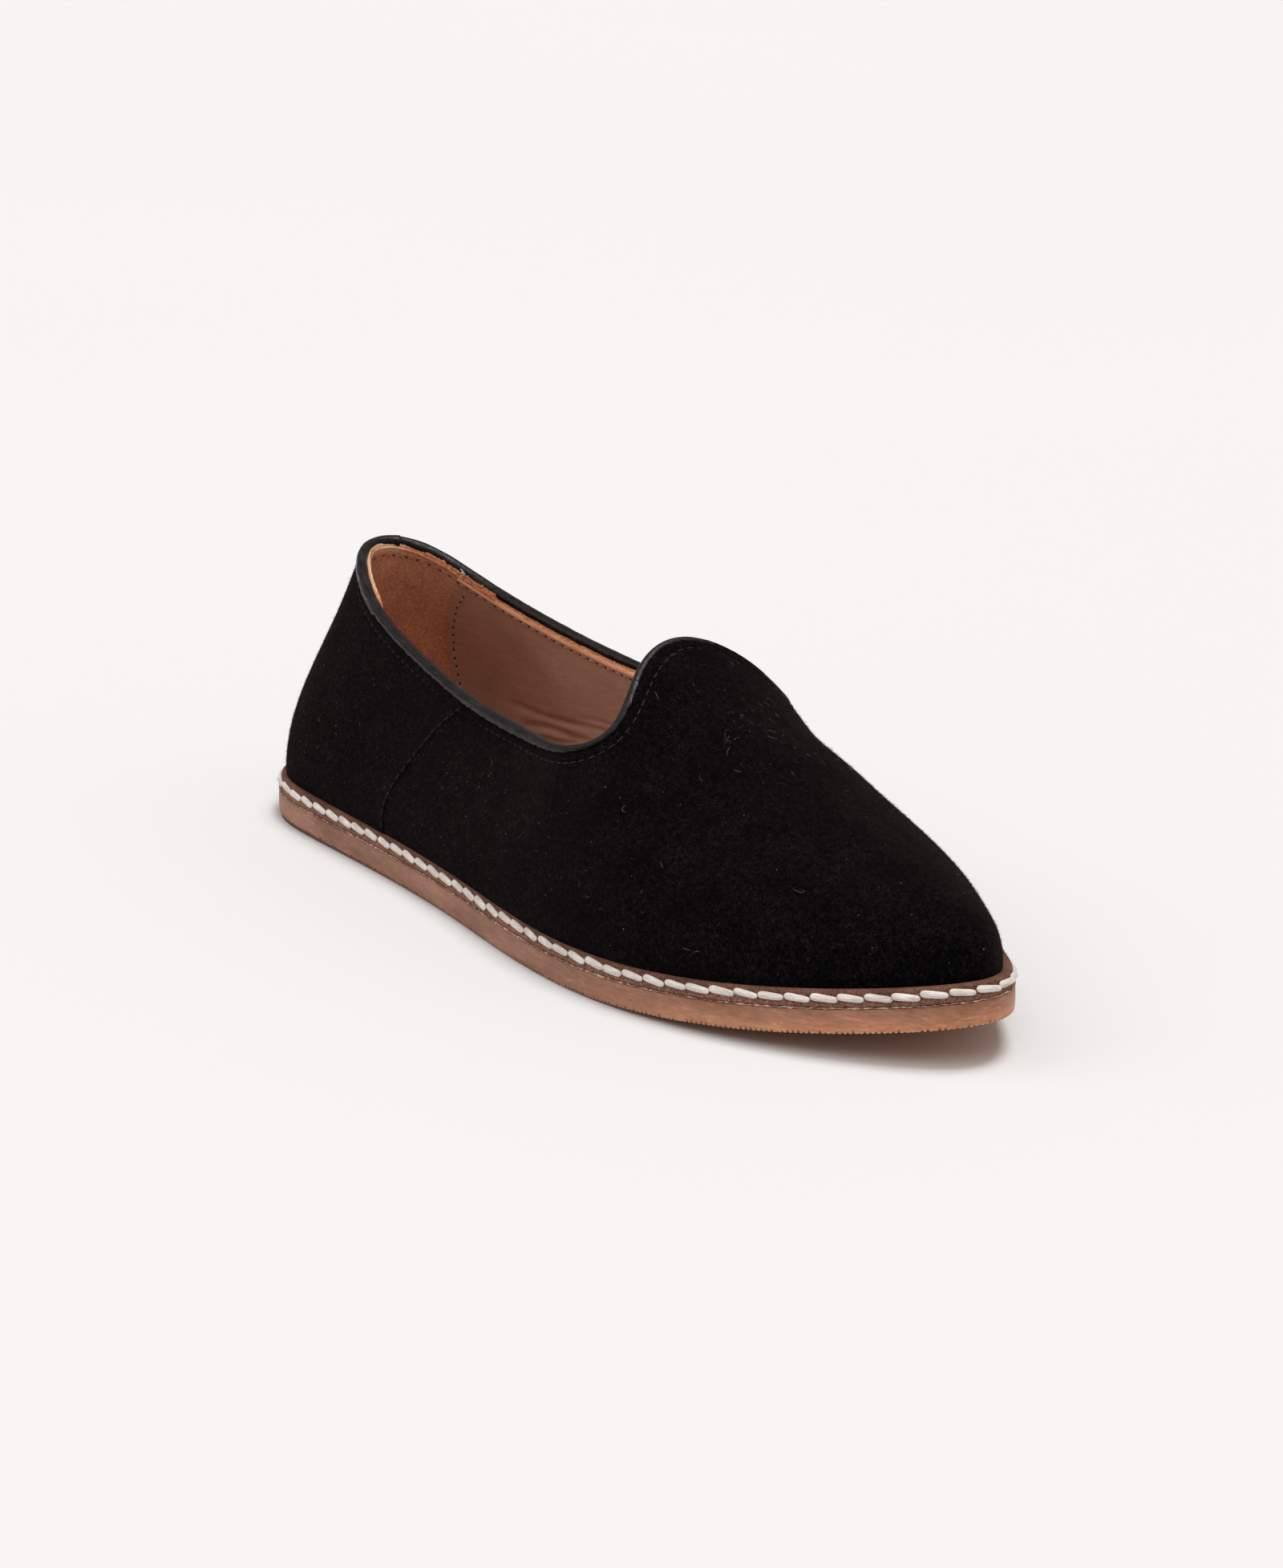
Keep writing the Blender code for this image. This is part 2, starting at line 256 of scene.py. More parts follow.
# By turn, how far they stand up and lean out in millimetres; below zero they lean in
EDGE_RISES = (
    (0.0, -0.1), (8.0, 0.2), (16.0, 1.0), (40.0, 1.1), (45.0, -0.1), (180.0, -0.15), (315.5, -0.15),
    (316.1, 0.40), (330.0, 0.1), (340.0, -0.15), (360.0, -0.1),
)
EDGE_LEANS = (
    (0.0, -0.25), (8.0, -0.35), (16.0, -0.7), (40.0, -0.7), (45.0, 0.0), (315.5, 0.0), (316.1, -0.4),
    (330.0, -0.35), (340.0, -0.2), (360.0, -0.25),
)

# Thread end tied over the raw edge
KNOT_TURN = 322.6
KNOT_RADIUS = 0.17 * MM

# Lint: middle of its cluster by turn and climb, its spread, fibres there and elsewhere, and specks
LINT_MIDDLE = (187.0, 0.82)
LINT_SPREAD = 0.012
LINT_CLUSTER = 44
LINT_LOOSE = 40
LINT_RADIUS = 0.000040
LINT_SPECKS = 260

# Soft troughs of the vamp in millimetres: both ends in plan, half width and depth
TROUGH_COLUMNS = ("start", "end", "half", "deep")
TROUGHS = (
    ((157.0, 36.0), (167.0, 12.0), 7.5, 0.85),
    ((170.0, 28.0), (235.0, 18.0), 14.0, 0.60),
    ((186.0, -30.0), (182.0, -6.0), 7.0, 0.25),
    ((150.0, -33.0), (160.0, -22.0), 6.0, 0.30),
)

# Camera at the photo's angle
CAMERA_PLACE = (0.78395, -0.59071, 0.35447)
CAMERA_AZIMUTH = math.radians(52.822)
CAMERA_ELEVATION = math.radians(18.193)
CAMERA_LENS = 100.0
CAMERA_SENSOR = 36.0

# Studio: floor and glow of the room
FLOOR_HALF = 5.0
ROOM_COLOUR = (1.0, 0.87, 0.82, 1.0)
ROOM_STRENGTH = 0.40

# Wide distant lamps: name, where they shine from, the angle that they fill in degrees, power and colour
LAMPS = (
    ("top_light", (0.10, 0.16, 1.0), 24.0, 2.10, (1.0, 0.995, 0.985)),
    ("left_light", (-0.60, -0.75, 0.97), 45.0, 0.62, (1.0, 0.99, 0.98)),
    ("right_light", (0.75, 0.60, 0.80), 40.0, 0.12, (1.0, 0.99, 0.98)),
    ("front_light", (0.55, -0.45, 1.20), 40.0, 0.76, (1.0, 0.99, 0.98)),
)


# Curves
def ease(value):
    """Smooth step from 0 to 1."""
    value = np.clip(value, 0, 1)
    return value * value * (3 - 2 * value)


def table_curve(table, where, column=1):
    """A column of a table against its first column, in straight steps."""
    rows = np.array(table)
    return np.interp(where, rows[:, 0], rows[:, column])


def ring_spline(turns, values):
    """Smooth cubic curve through values at turns, closed over 360 degrees."""
    turns = np.asarray(turns, float)
    values = np.asarray(values, float)
    count = len(turns)
    steps = np.diff(np.append(turns, turns[0] + 360))
    slopes = (np.roll(values, -1) - values) / steps
    matrix = np.zeros((count, count))
    for i in range(count):
        matrix[i, i - 1] = steps[i - 1]
        matrix[i, i] = 2 * (steps[i - 1] + steps[i])
        matrix[i, (i + 1) % count] = steps[i]
    bend = np.linalg.solve(matrix, 6 * (slopes - np.roll(slopes, 1)))

    def at(turn):
        turn = np.asarray(turn, float) % 360
        i = np.searchsorted(turns, turn, side="right") - 1
        j = (i + 1) % count
        ahead = (turn - turns[i]) / steps[i]
        behind = 1 - ahead
        sag = (behind ** 3 - behind) * bend[i] + (ahead ** 3 - ahead) * bend[j]
        return behind * values[i] + ahead * values[j] + sag * steps[i] ** 2 / 6

    return at


def mirrored_spline(turns, values, flip=1):
    """Closed curve through values from heel to toe and, times flip, back on the medial side."""
    turns = list(turns)
    values = list(values)
    back = range(len(turns) - 2, 0, -1)
    return ring_spline(turns + [360 - turns[i] for i in back], values + [flip * values[i] for i in back])


def width_curve(side):
    """Half width over the sine of the turn, which stays smooth round heel and toe."""
    turns = [0.0]
    widths = [math.sqrt(HEEL_RADIUS * LENGTH / 2)]
    for row in OUTLINE:
        station = dict(zip(OUTLINE_COLUMNS, row))
        angle = math.acos(1 - 2 * station["along"])
        turns.append(math.degrees(angle))
        widths.append(station[side] * MM / math.sin(angle))
    turns.append(180.0)
    widths.append(math.sqrt(TOE_RADIUS * LENGTH / 2))
    return mirrored_spline(turns, widths)


def table_curves(table, columns):
    """One smooth curve round the shoe for each column of a table that starts with the turn."""
    rows = np.array(table)
    curves = {}
    for name, values in list(zip(columns, rows.T))[1:]:
        flip = -1 if name == "top_half" else 1
        curves[name] = mirrored_spline(rows[:, 0], values * MM, flip)
    return curves


LATERAL = width_curve("lateral")
MEDIAL = width_curve("medial")
RIB = table_curves(RIBS, RIB_COLUMNS)
LEDGE = table_curves(LEDGES, LEDGE_COLUMNS)


# Sole edge and last
def unit(vectors):
    return vectors / np.linalg.norm(vectors, axis=-1, keepdims=True)


def square_to(first, second):
    """Direction at right angles to two others."""
    return unit(np.cross(first, second))


def sole_edge(turn):
    """Plan point of the sole edge."""
    turn = np.asarray(turn, float) % 360
    angle = np.radians(turn)
    width = np.where(turn <= 180, LATERAL(turn), MEDIAL(360 - turn))
    return np.stack([LENGTH / 2 * (1 - np.cos(angle)), -width * np.sin(angle)], axis=-1)


def outward(turn):
    """Plan direction square to the sole edge, away from the shoe."""
    turn = np.asarray(turn, float)
    nudge = 0.05
    run = unit(sole_edge(turn + nudge) - sole_edge(turn - nudge))
    return np.stack([run[..., 1], -run[..., 0]], axis=-1)


def inset_edge(turn, inset):
    """Plan point at a distance inside the sole edge."""
    return sole_edge(turn) - inset * outward(turn)


def ledge(turn):
    """Width of the welt's ledge, ready to scale plan directions."""
    return LEDGE["width"](turn)[..., None]


def floor_line(x):
    """Height of the underside: flat from the heel to the ball, then sprung up to the toe."""
    past = np.clip((x / LENGTH - SPRING_START) / (1 - SPRING_START), 0, None)
    return TOE_SPRING * past ** 2


def outsole_top(x):
    return floor_line(x) + OUTSOLE_HEEL + (OUTSOLE_TOE - OUTSOLE_HEEL) * x / LENGTH


def insole_base(x):
    return outsole_top(x) + GAP + MIDSOLE_THICK + GAP


def insole_top(x):
    return insole_base(x) + INSOLE_THICK


def with_height(plan, height):
    """Plan points lifted to a height that depends on how far along they are."""
    return np.concatenate([plan, height(plan[..., :1])], axis=-1)


def level_outward(turn):
    """The way out from the sole edge as a level direction in space."""
    return with_height(outward(turn), np.zeros_like)


def topline(turn):
    return np.stack([RIB["top_x"](turn), -RIB["top_half"](turn), RIB["top_z"](turn)], axis=-1)


def last_point(turn, climb):
    """Point on the outside of the last."""
    turn, climb = np.broadcast_arrays(np.asarray(turn, float), np.asarray(climb, float))
    climb = climb[..., None]
    foot = with_height(inset_edge(turn, ledge(turn)), insole_base)
    top = topline(turn)
    away = unit((foot - top) * (1, 1, 0))
    low = foot + RIB["bulge"](turn)[..., None] * level_outward(turn) + RIB["rise"](turn)[..., None] * UP
    high = top + RIB["reach"](turn)[..., None] * away - RIB["drop"](turn)[..., None] * UP
    left = 1 - climb
    return left ** 3 * foot + 3 * left ** 2 * climb * low + 3 * left * climb ** 2 * high + climb ** 3 * top


def last_normal(turn, climb):
    """Direction square to the last, away from the foot."""
    nudge_turn = 0.05
    nudge_climb = 0.002
    climb = np.clip(climb, nudge_climb, 1 - nudge_climb)
    around = last_point(turn + nudge_turn, climb) - last_point(turn - nudge_turn, climb)
    upward = last_point(turn, climb + nudge_climb) - last_point(turn, climb - nudge_climb)
    return square_to(around, upward)


def surface_row(turns, climbs, offset):
    """Points and outward directions of a line on the last."""
    normal = last_normal(turns, climbs)
    return last_point(turns, climbs) + offset * normal, normal


def from_heel(turn):
    """Turn counted from the heel on either side."""
    return 180 - np.abs(np.asarray(turn, float) % 360 - 180)


def counter_seam(climb):
    """Turn of the counter's seam, counted from the heel."""
    return table_curve(COUNTER_SEAM, climb)


def counter_lift(turn, climb):
    """The heel counter lies over the upper: its height, with a short rounded edge at the seam."""
    return COUNTER_STEP * ease((counter_seam(climb) + SEAM_HALF - from_heel(turn)) / (2 * SEAM_HALF))


def run_lengths(points):
    """Length of a line of points up to each of them."""
    return np.concatenate([[0], np.cumsum(np.linalg.norm(np.diff(points, axis=0), axis=1))])


def even_turns(curve, first, last, count):
    """Turns that part a curve round the shoe into equal lengths."""
    fine = np.linspace(first, last, FINE_STEPS)
    runs = run_lengths(curve(fine))
    return np.interp(np.linspace(0, runs[-1], count, endpoint=False), runs, fine)


def side_turns(per_side):
    """Turns round the sole edge, even on each side, so that the two sides pair up."""
    sides = ((0, 180), (180, 360))
    return np.concatenate([even_turns(sole_edge, *side, per_side) for side in sides])


def rim_depths(start):
    """Depths of the close rows near the rim."""
    return start + RIM_STEP * np.arange(RIM_ROWS)


def rim_climbs(turns, depths):
    """Climbs on each rib at given distances from the topline."""
    rim = topline(np.linspace(0, 360, 720, endpoint=False))
    fine = np.linspace(0, 1, 141)
    climbs = np.empty((len(turns), len(depths)))
    for i, turn in enumerate(turns):
        rib = last_point(np.full(len(fine), turn), fine)
        nearest = np.sqrt(((rib[:, None] - rim) ** 2).sum(axis=-1).min(axis=1))
        climbs[i] = np.interp(depths, np.maximum.accumulate(nearest[::-1]), fine[::-1])
    return climbs


def wall_climbs(turns, start, lower_rows):
    """Rows of climbs from a distance below the topline down to the sole, close together near the rim."""
    near = rim_climbs(turns, rim_depths(start))
    shares = np.linspace(1, 0, lower_rows + 1)[1:]
    return np.concatenate([near, near[:, -1:] * shares], axis=1).T


def ring_noise(share, slowest, fastest, waves, seed):
    """Smooth random ripple round a closed line, of about unit size."""
    rng = np.random.default_rng(seed)
    counts = rng.integers(slowest, fastest + 1, waves)
    phases = rng.random(waves)
    return np.cos(2 * np.pi * (np.multiply.outer(share, counts) + phases)).sum(axis=-1) / math.sqrt(waves / 2)


# Meshes are a block of points and lists of faces with the same number of corners
def grid_faces(rows, columns, row_ring=False, column_ring=False):
    index = np.arange(rows * columns).reshape(rows, columns)
    if row_ring:
        index = np.concatenate([index, index[:1]])
    if column_ring:
        index = np.concatenate([index, index[:, :1]], axis=1)
    corners = [index[:-1, :-1], index[:-1, 1:], index[1:, 1:], index[1:, :-1]]
    return np.stack(corners, axis=-1).reshape(-1, 4)


def ladder_faces(loop):
    """Faces across a closed loop, from each side's points to their pairs on the other side."""
    half = len(loop) // 2
    quads = [(loop[i], loop[i + 1], loop[-i - 1], loop[-i]) for i in range(1, half - 1)]
    tips = [(loop[0], loop[1], loop[-1]), (loop[half - 1], loop[half], loop[half + 1])]
    return [np.array(quads), np.array(tips)]


def facing_out(points, faces):
    """The faces of a closed mesh, turned round if they point inward."""
    volume = 0.0
    for block in faces:
        corners = points[block]
        for i in range(1, block.shape[1] - 1):
            volume += np.einsum("ij,ij->", corners[:, 0], np.cross(corners[:, i], corners[:, i + 1]))
    return faces if volume > 0 else [block[:, ::-1] for block in faces]


def repeat_faces(faces, points_each, copies):
    """Faces of many copies of one small mesh."""
    starts = (np.arange(copies) * points_each)[:, None, None]
    return [(block[None] + starts).reshape(-1, block.shape[1]) for block in faces]


def join(meshes):
    """One mesh from several."""
    points, faces, start = [], [], 0
    for block_points, block_faces in meshes:
        points.append(block_points)
        faces += [block + start for block in block_faces]
        start += len(block_points)
    return np.concatenate(points), faces


def slab(outer, inner):
    """Closed sheet between two grids of points with the same shape."""
    rows, columns = outer.shape[:2]
    size = rows * columns
    index = np.arange(size).reshape(rows, columns)
    grid = grid_faces(rows, columns)
    faces = [grid, grid[:, ::-1] + size]
    for line in (index[0], index[-1][::-1], index[::-1, 0], index[:, -1]):
        ahead = line[1:]
        behind = line[:-1]
        faces.append(np.stack([ahead, behind, behind + size, ahead + size], axis=-1))
    return np.concatenate([outer.reshape(-1, 3), inner.reshape(-1, 3)]), faces


def swept_ring(sections):
    """Closed tube through sections (stations, points, 3) that meet end to end."""
    stations, around = sections.shape[:2]
    return sections.reshape(-1, 3), [grid_faces(stations, around, True, True)]


def capped_rings(rings):
    """Closed layer of the sole from rings of points, with its underside and top."""
    loops = np.arange(rings.shape[0] * rings.shape[1]).reshape(rings.shape[:2])
    faces = [grid_faces(*loops.shape, column_ring=True)]
    faces += ladder_faces(loops[0]) + [block[:, ::-1] for block in ladder_faces(loops[-1])]
    return rings.reshape(-1, 3), faces


def capped_tube(sections):
    """Closed tube through sections, with flat ends."""
    stations, around = sections.shape[:2]
    ends = np.stack([np.arange(around)[::-1], np.arange(around) + (stations - 1) * around])
    return sections.reshape(-1, 3), [grid_faces(stations, around, column_ring=True), ends]


def circles(side, other, around):
    """Circles of points, one for each station, spanned by two directions there."""
    angles = np.linspace(0, 2 * np.pi, around, endpoint=False)[:, None]
    return np.cos(angles) * side[:, None] + np.sin(angles) * other[:, None]


def heel_shift():
    """From heel coordinates to the frame's."""
    edge = sole_edge(np.linspace(0, 360, 1441))
    middle_y = (edge[:, 1].min() + edge[:, 1].max()) / 2
    return np.array([SOLE_LOW.x, (SOLE_LOW.y + SOLE_HIGH.y) / 2 - middle_y, 0.0])


SHIFT = heel_shift()


def add_object(name, data):
    """New object in the scene."""
    thing = bpy.data.objects.new(name, data)
    bpy.context.scene.collection.objects.link(thing)
    return thing


def add_piece(name, mesh, material, slot=None, replaces=None, sharp=None, **values):
    """Put a piece on the shoe's body with its material; values are named numbers for each point."""
    points, faces = mesh
    data = bpy.data.meshes.new(name)
    faces = [face for block in facing_out(points, faces) for face in block.tolist()]
    data.from_pydata((points + SHIFT).tolist(), [], faces)
    data.shade_smooth()
    if sharp:
        data.set_sharp_from_angle(angle=math.radians(sharp))
    for label, numbers in values.items():
        kind, field = ("FLOAT_VECTOR", "vector") if numbers.ndim == 2 else ("FLOAT", "value")
        layer = data.attributes.new(label, kind, "POINT")
        layer.data.foreach_set(field, numbers.astype(np.float32).ravel())
    data.materials.append(material)
    piece = add_object(name, data)
    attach(piece, "root")
    if replaces:
        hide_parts(replaces)


# Materials
class Finish:
    """A material with short calls for the nodes that it needs."""

    def __init__(self, name, roughness, specular):
        self.material = bpy.data.materials.new(name)
        self.material.use_nodes = True
        self.tree = self.material.node_tree
        self.shader = self.tree.nodes["Principled BSDF"]
        self.feed("Roughness", roughness)
        self.feed("Specular IOR Level", specular)
        self.place = self.add("TexCoord", "Object")

    def plug(self, socket, source):
        """Link a socket to another node's output, or set it to a plain value."""
        if isinstance(source, bpy.types.NodeSocket):
            self.tree.links.new(source, socket)
        else:
            socket.default_value = source

    def feed(self, socket, source):
        """Give the shader an output or a plain value."""
        self.plug(self.shader.inputs[socket], source)

    def add(self, kind, output, **inputs):
        """One output of a new node whose inputs are plugged."""
        node = self.tree.nodes.new("ShaderNode" + kind)
        for label, source in inputs.items():
            self.plug(node.inputs[label.replace("_", " ")], source)
        return node.outputs[output]

    def stretch(self, *scale):
        """Object coordinates, scaled on each axis."""
        return self.add("Mapping", "Vector", Vector=self.place, Scale=scale)

    def noise(self, size, detail=2.0, roughness=0.5, place=None):
        """Noise with grains of about the given size in metres."""
        place = place or self.place
        return self.add("TexNoise", "Fac", Vector=place, Scale=1 / size, Detail=detail, Roughness=roughness)

    def cells(self, size):
        """Distance to the middle of random cells of the given size in metres."""
        return self.add("TexVoronoi", "Distance", Vector=self.place, Scale=1 / size)

    def value(self, label, output="Fac"):
        """A number or, as Vector, three numbers that the mesh carries for each point."""
        node = self.tree.nodes.new("ShaderNodeAttribute")
        node.attribute_name = label
        return node.outputs[output]

    def ramp(self, source, stops):
        """Colours by value: stops are (position, linear colour)."""
        node = self.tree.nodes.new("ShaderNodeValToRGB")
        elements = node.color_ramp.elements
        while len(elements) < len(stops):
            elements.new(0.5)
        for element, (position, colour) in zip(elements, stops):
            element.position = position
            element.color = (*colour, 1.0)
        self.plug(node.inputs["Fac"], source)
        return node.outputs["Color"]

    def level(self, source, low, high, start, end):
        """A value mapped from start..end to low..high."""
        limits = {"From_Min": start, "From_Max": end, "To_Min": low, "To_Max": high}
        return self.add("MapRange", "Result", Value=source, **limits)

    def mix(self, factor, first, second, kind="MIX"):
        """Two colours, mixed by a factor."""
        node = self.tree.nodes.new("ShaderNodeMix")
        node.data_type = "RGBA"
        node.blend_type = kind
        sockets = [socket for socket in node.inputs if socket.enabled]
        for socket, source in zip(sockets, (factor, first, second)):
            self.plug(socket, source)
        return [socket for socket in node.outputs if socket.enabled][0]

    def times(self, first, second):
        """Two colours, multiplied."""
        return self.mix(1.0, first, second, "MULTIPLY")

    def bump(self, height, strength, distance, **under):
        """Normals of a height; under may give the Normal of another bump that it lies on."""
        return self.add("Bump", "Normal", Height=height, Strength=strength, Distance=distance, **under)


def grey(level):
    return (level, level, level)


def two_tone(name, roughness, specular, noise, stops):
    """Material in two tones, in patches by noise of a size, detail and roughness."""
    finish = Finish(name, roughness, specular)
    finish.feed("Base Color", finish.ramp(finish.noise(*noise), stops))
    return finish.material


def suede():
    """Black nap: nearly no gloss, a faint warm sheen, brushed patches and fine fibres."""
    finish = Finish("black_suede", 0.95, specular=0.03)
    brushed = finish.noise(0.011, detail=3)
    tuft = finish.noise(0.0013, detail=3, roughness=0.75)
    fibre = finish.noise(0.00042, detail=3, roughness=0.7, place=finish.stretch(1.0, 1.0, 0.6))
    base = finish.ramp(brushed, [(0.30, (0.0013, 0.0011, 0.0013)), (0.70, (0.0037, 0.0032, 0.0036))])
    tufts = finish.ramp(tuft, [(0.36, grey(0.15)), (0.66, (2.5, 2.3, 2.3))])
    dots = finish.ramp(fibre, [(0.38, grey(0.12)), (0.54, grey(0.85)), (0.70, (3.4, 3.0, 3.0))])
    finish.feed("Base Color", finish.times(finish.times(base, tufts), dots))
    finish.feed("Sheen Weight", 0.02)
    finish.feed("Sheen Roughness", 0.45)
    finish.feed("Sheen Tint", (0.75, 0.62, 0.60, 1.0))
    soft = finish.bump(brushed, 0.25, 0.0008)
    finish.feed("Normal", finish.bump(fibre, 0.8, 0.0005, Normal=soft))
    return finish.material


def nap():
    """Short fibres of the suede, from black to a dark warm grey."""
    stops = [(0.42, (0.0016, 0.0014, 0.0015)), (0.66, (0.056, 0.047, 0.047))]
    return two_tone("suede_fibre", 0.9, 0.04, (0.0012, 1), stops)


def lint():
    """Grey dust and loose threads."""
    stops = [(0.35, (0.050, 0.046, 0.046)), (0.65, (0.170, 0.158, 0.158))]
    return two_tone("lint", 0.9, 0.1, (0.004, 1), stops)


def binding_leather():
    """Smooth black leather with fine grain and soft scuffs."""
    finish = Finish("binding_leather", 0.42, specular=0.20)
    scuff = finish.noise(0.0020, detail=5, roughness=0.7, place=finish.stretch(0.45, 1.0, 1.0))
    grain = finish.cells(0.00045)
    black, worn, rubbed = (0.0020, 0.0017, 0.0020), (0.0046, 0.0038, 0.0043), (0.0190, 0.0160, 0.0168)
    finish.feed("Base Color", finish.ramp(scuff, [(0.38, black), (0.55, worn), (0.72, rubbed)]))
    finish.feed("Roughness", finish.level(scuff, 0.20, 0.50, 0.35, 0.7))
    soft = finish.bump(scuff, 0.45, 0.0006)
    finish.feed("Normal", finish.bump(grain, 0.18, 0.00012, Normal=soft))
    return finish.material


def lining_leather(name, dark, light):
    """Smooth taupe-brown leather with pores and fine creases, raw orange tan where it is cut."""
    finish = Finish(name, 0.52, specular=0.35)
    cloud = finish.noise(0.016, detail=4, roughness=0.6)
    crease = finish.noise(0.0028, detail=4, roughness=0.65, place=finish.stretch(0.35, 1.0, 1.0))
    pores = finish.cells(0.0006)
    body = finish.ramp(cloud, [(0.30, dark), (0.72, light)])
    raw = finish.ramp(crease, [(0.30, (0.74, 0.32, 0.16)), (0.70, (0.94, 0.52, 0.31))])
    finish.feed("Base Color", finish.mix(finish.value("cut"), body, raw))
    finish.feed("Roughness", finish.level(cloud, 0.46, 0.62, 0.3, 0.7))
    soft = finish.bump(crease, 0.45, 0.0006)
    finish.feed("Normal", finish.bump(pores, 0.12, 0.0001, Normal=soft))
    return finish.material


def lining_suede():
    """Orange-brown napped leather of the heel lining."""
    finish = Finish("heel_lining_suede", 0.92, specular=0.1)
    cloud = finish.noise(0.009, detail=3)
    fibre = finish.noise(0.0007, detail=4, roughness=0.7)
    base = finish.ramp(cloud, [(0.30, (0.510, 0.235, 0.137)), (0.72, (0.685, 0.345, 0.208))])
    dots = finish.ramp(fibre, [(0.34, (0.70, 0.68, 0.66)), (0.68, grey(1.32))])
    finish.feed("Base Color", finish.times(base, dots))
    finish.feed("Sheen Weight", 0.10)
    finish.feed("Sheen Tint", (0.85, 0.55, 0.40, 1.0))
    finish.feed("Normal", finish.bump(fibre, 0.6, 0.0004))
    return finish.material


def raw_leather():
    """Cut leather edge: orange tan, paler at the heel, fibrous."""
    finish = Finish("raw_leather_edge", 0.85, specular=0.2)
    fibre = finish.noise(0.0009, detail=4, roughness=0.7)
    dark, middle, light = (0.40, 0.15, 0.070), (0.68, 0.28, 0.14), (0.90, 0.46, 0.26)
    tan = finish.ramp(fibre, [(0.30, dark), (0.50, middle), (0.72, light)])
    pale = finish.ramp(fibre, [(0.30, (0.74, 0.42, 0.24)), (0.72, (0.96, 0.68, 0.46))])
    finish.feed("Base Color", finish.mix(finish.value("heelward"), tan, pale))
    finish.feed("Normal", finish.bump(fibre, 0.7, 0.0004))
    return finish.material


def white_thread():
    """Thick waxed thread, off-white, with fine streaks along its fibres."""
    finish = Finish("waxed_thread", 0.55, specular=0.35)
    cloud = finish.noise(0.0035, detail=3)
    fibre = finish.noise(1.0, detail=3, roughness=0.6, place=finish.value("fibre", "Vector"))
    body = finish.ramp(cloud, [(0.30, (0.60, 0.55, 0.51)), (0.70, (0.79, 0.745, 0.71))])
    streaks = finish.ramp(fibre, [(0.32, (0.62, 0.57, 0.52)), (0.52, grey(1.0)), (0.75, grey(1.06))])
    finish.feed("Base Color", finish.times(body, streaks))
    finish.feed("Normal", finish.bump(fibre, 0.5, 0.00025))
    return finish.material


def plain_thread(name, dark, light):
    """Thin sewing thread."""
    return two_tone(name, 0.7, 0.25, (0.0012, 2), [(0.35, dark), (0.65, light)])


def welt_leather():
    """Midsole: reddish-brown ledge, painted darker than its cut edge partly as shade under the overhanging
    suede, fibrous speckled cut edge, fuzzy all over towards the toe.
    """
    finish = Finish("welt_leather", 0.74, specular=0.2)
    cloud = finish.noise(0.007, detail=3)
    fibre = finish.noise(0.00055, detail=4, roughness=0.75)
    # Ledge colour: reddish-brown leather, darkened further as painted shade under the overhanging suede.
    top = finish.ramp(cloud, [(0.30, (0.092, 0.039, 0.026)), (0.70, (0.160, 0.074, 0.050))])
    edge = finish.ramp(cloud, [(0.30, (0.185, 0.088, 0.057)), (0.70, (0.285, 0.142, 0.096))])
    body = finish.mix(finish.value("cut_edge"), top, edge)
    fuzz = finish.ramp(fibre, [(0.34, (0.30, 0.26, 0.24)), (0.50, grey(0.95)), (0.70, (2.0, 1.9, 1.85))])
    finish.feed("Base Color", finish.mix(finish.value("fuzzy"), body, finish.times(body, fuzz)))
    finish.feed("Normal", finish.bump(fibre, 0.55, 0.0004))
    return finish.material


def gum_rubber():
    """Gum sole: grey brown and dusty above, amber towards the bottom of the toe, dark on its set-back strip
    at the heel, partly darker rubber and partly painted shade under the sole's edge.
    """
    finish = Finish("gum_rubber", 0.5, specular=0.25)
    cloud = finish.noise(0.012, detail=5, roughness=0.65, place=finish.stretch(0.5, 0.5, 2.0))
    dust = finish.noise(0.0007, detail=3, roughness=0.7, place=finish.stretch(0.25, 0.25, 1.0))
    brown = finish.ramp(cloud, [(0.32, (0.210, 0.097, 0.058)), (0.68, (0.385, 0.194, 0.131))])
    amber = finish.ramp(cloud, [(0.30, (0.470, 0.196, 0.098)), (0.70, (0.640, 0.298, 0.165))])
    body = finish.mix(finish.value("amber"), brown, amber)
    # Set-back strip at the heel painted dark brown: partly darker rubber, partly painted shade under the
    # sole's edge.
    body = finish.mix(finish.value("tread"), body, (0.110, 0.048, 0.032, 1.0))
    body = finish.mix(finish.value("rubbed"), body, (0.800, 0.560, 0.400, 1.0))
    specks = finish.ramp(dust, [(0.35, (0.82, 0.80, 0.78)), (0.60, grey(1.05)), (0.74, grey(1.5))])
    finish.feed("Base Color", finish.times(body, specks))
    finish.feed("Roughness", finish.level(dust, 0.40, 0.62, 0.3, 0.7))
    finish.feed("Normal", finish.bump(dust, 0.25, 0.0003))
    return finish.material


def burr_rubber():
    """Rubbed edge of the gum at the joint, in pale crumbs."""
    stops = [(0.44, (0.26, 0.14, 0.095)), (0.64, (0.66, 0.50, 0.40))]
    return two_tone("burr_rubber", 0.8, 0.2, (0.0016, 4, 0.65), stops)


def floor_paint():
    """Seamless studio paper."""
    stops = [(0.0, (0.655, 0.670, 0.675)), (1.0, (0.668, 0.683, 0.688))]
    return two_tone("studio_floor", 0.85, 0.1, (0.5, 1), stops)


# Sole
def side_rings(turns, side, base, top):
    """Rings of points up the side of a sole layer."""
    rings = []
    for row in side:
        step = dict(zip(SIDE_COLUMNS, row))
        plan = inset_edge(turns, step["inset"] * MM)
        low = with_height(plan, base)
        high = with_height(plan, top)
        rings.append(low + step["share"] * (high - low))
    return np.array(rings)


def near_heel(x):
    """1 at the heel end, down to 0 where the high part of the tread's strip ends."""
    return ease(1 - x / TREAD_END)


def toeward(x, start, run):
    """0 up to a share of the length, then up to 1 over the next share."""
    return ease((x / LENGTH - start) / run)


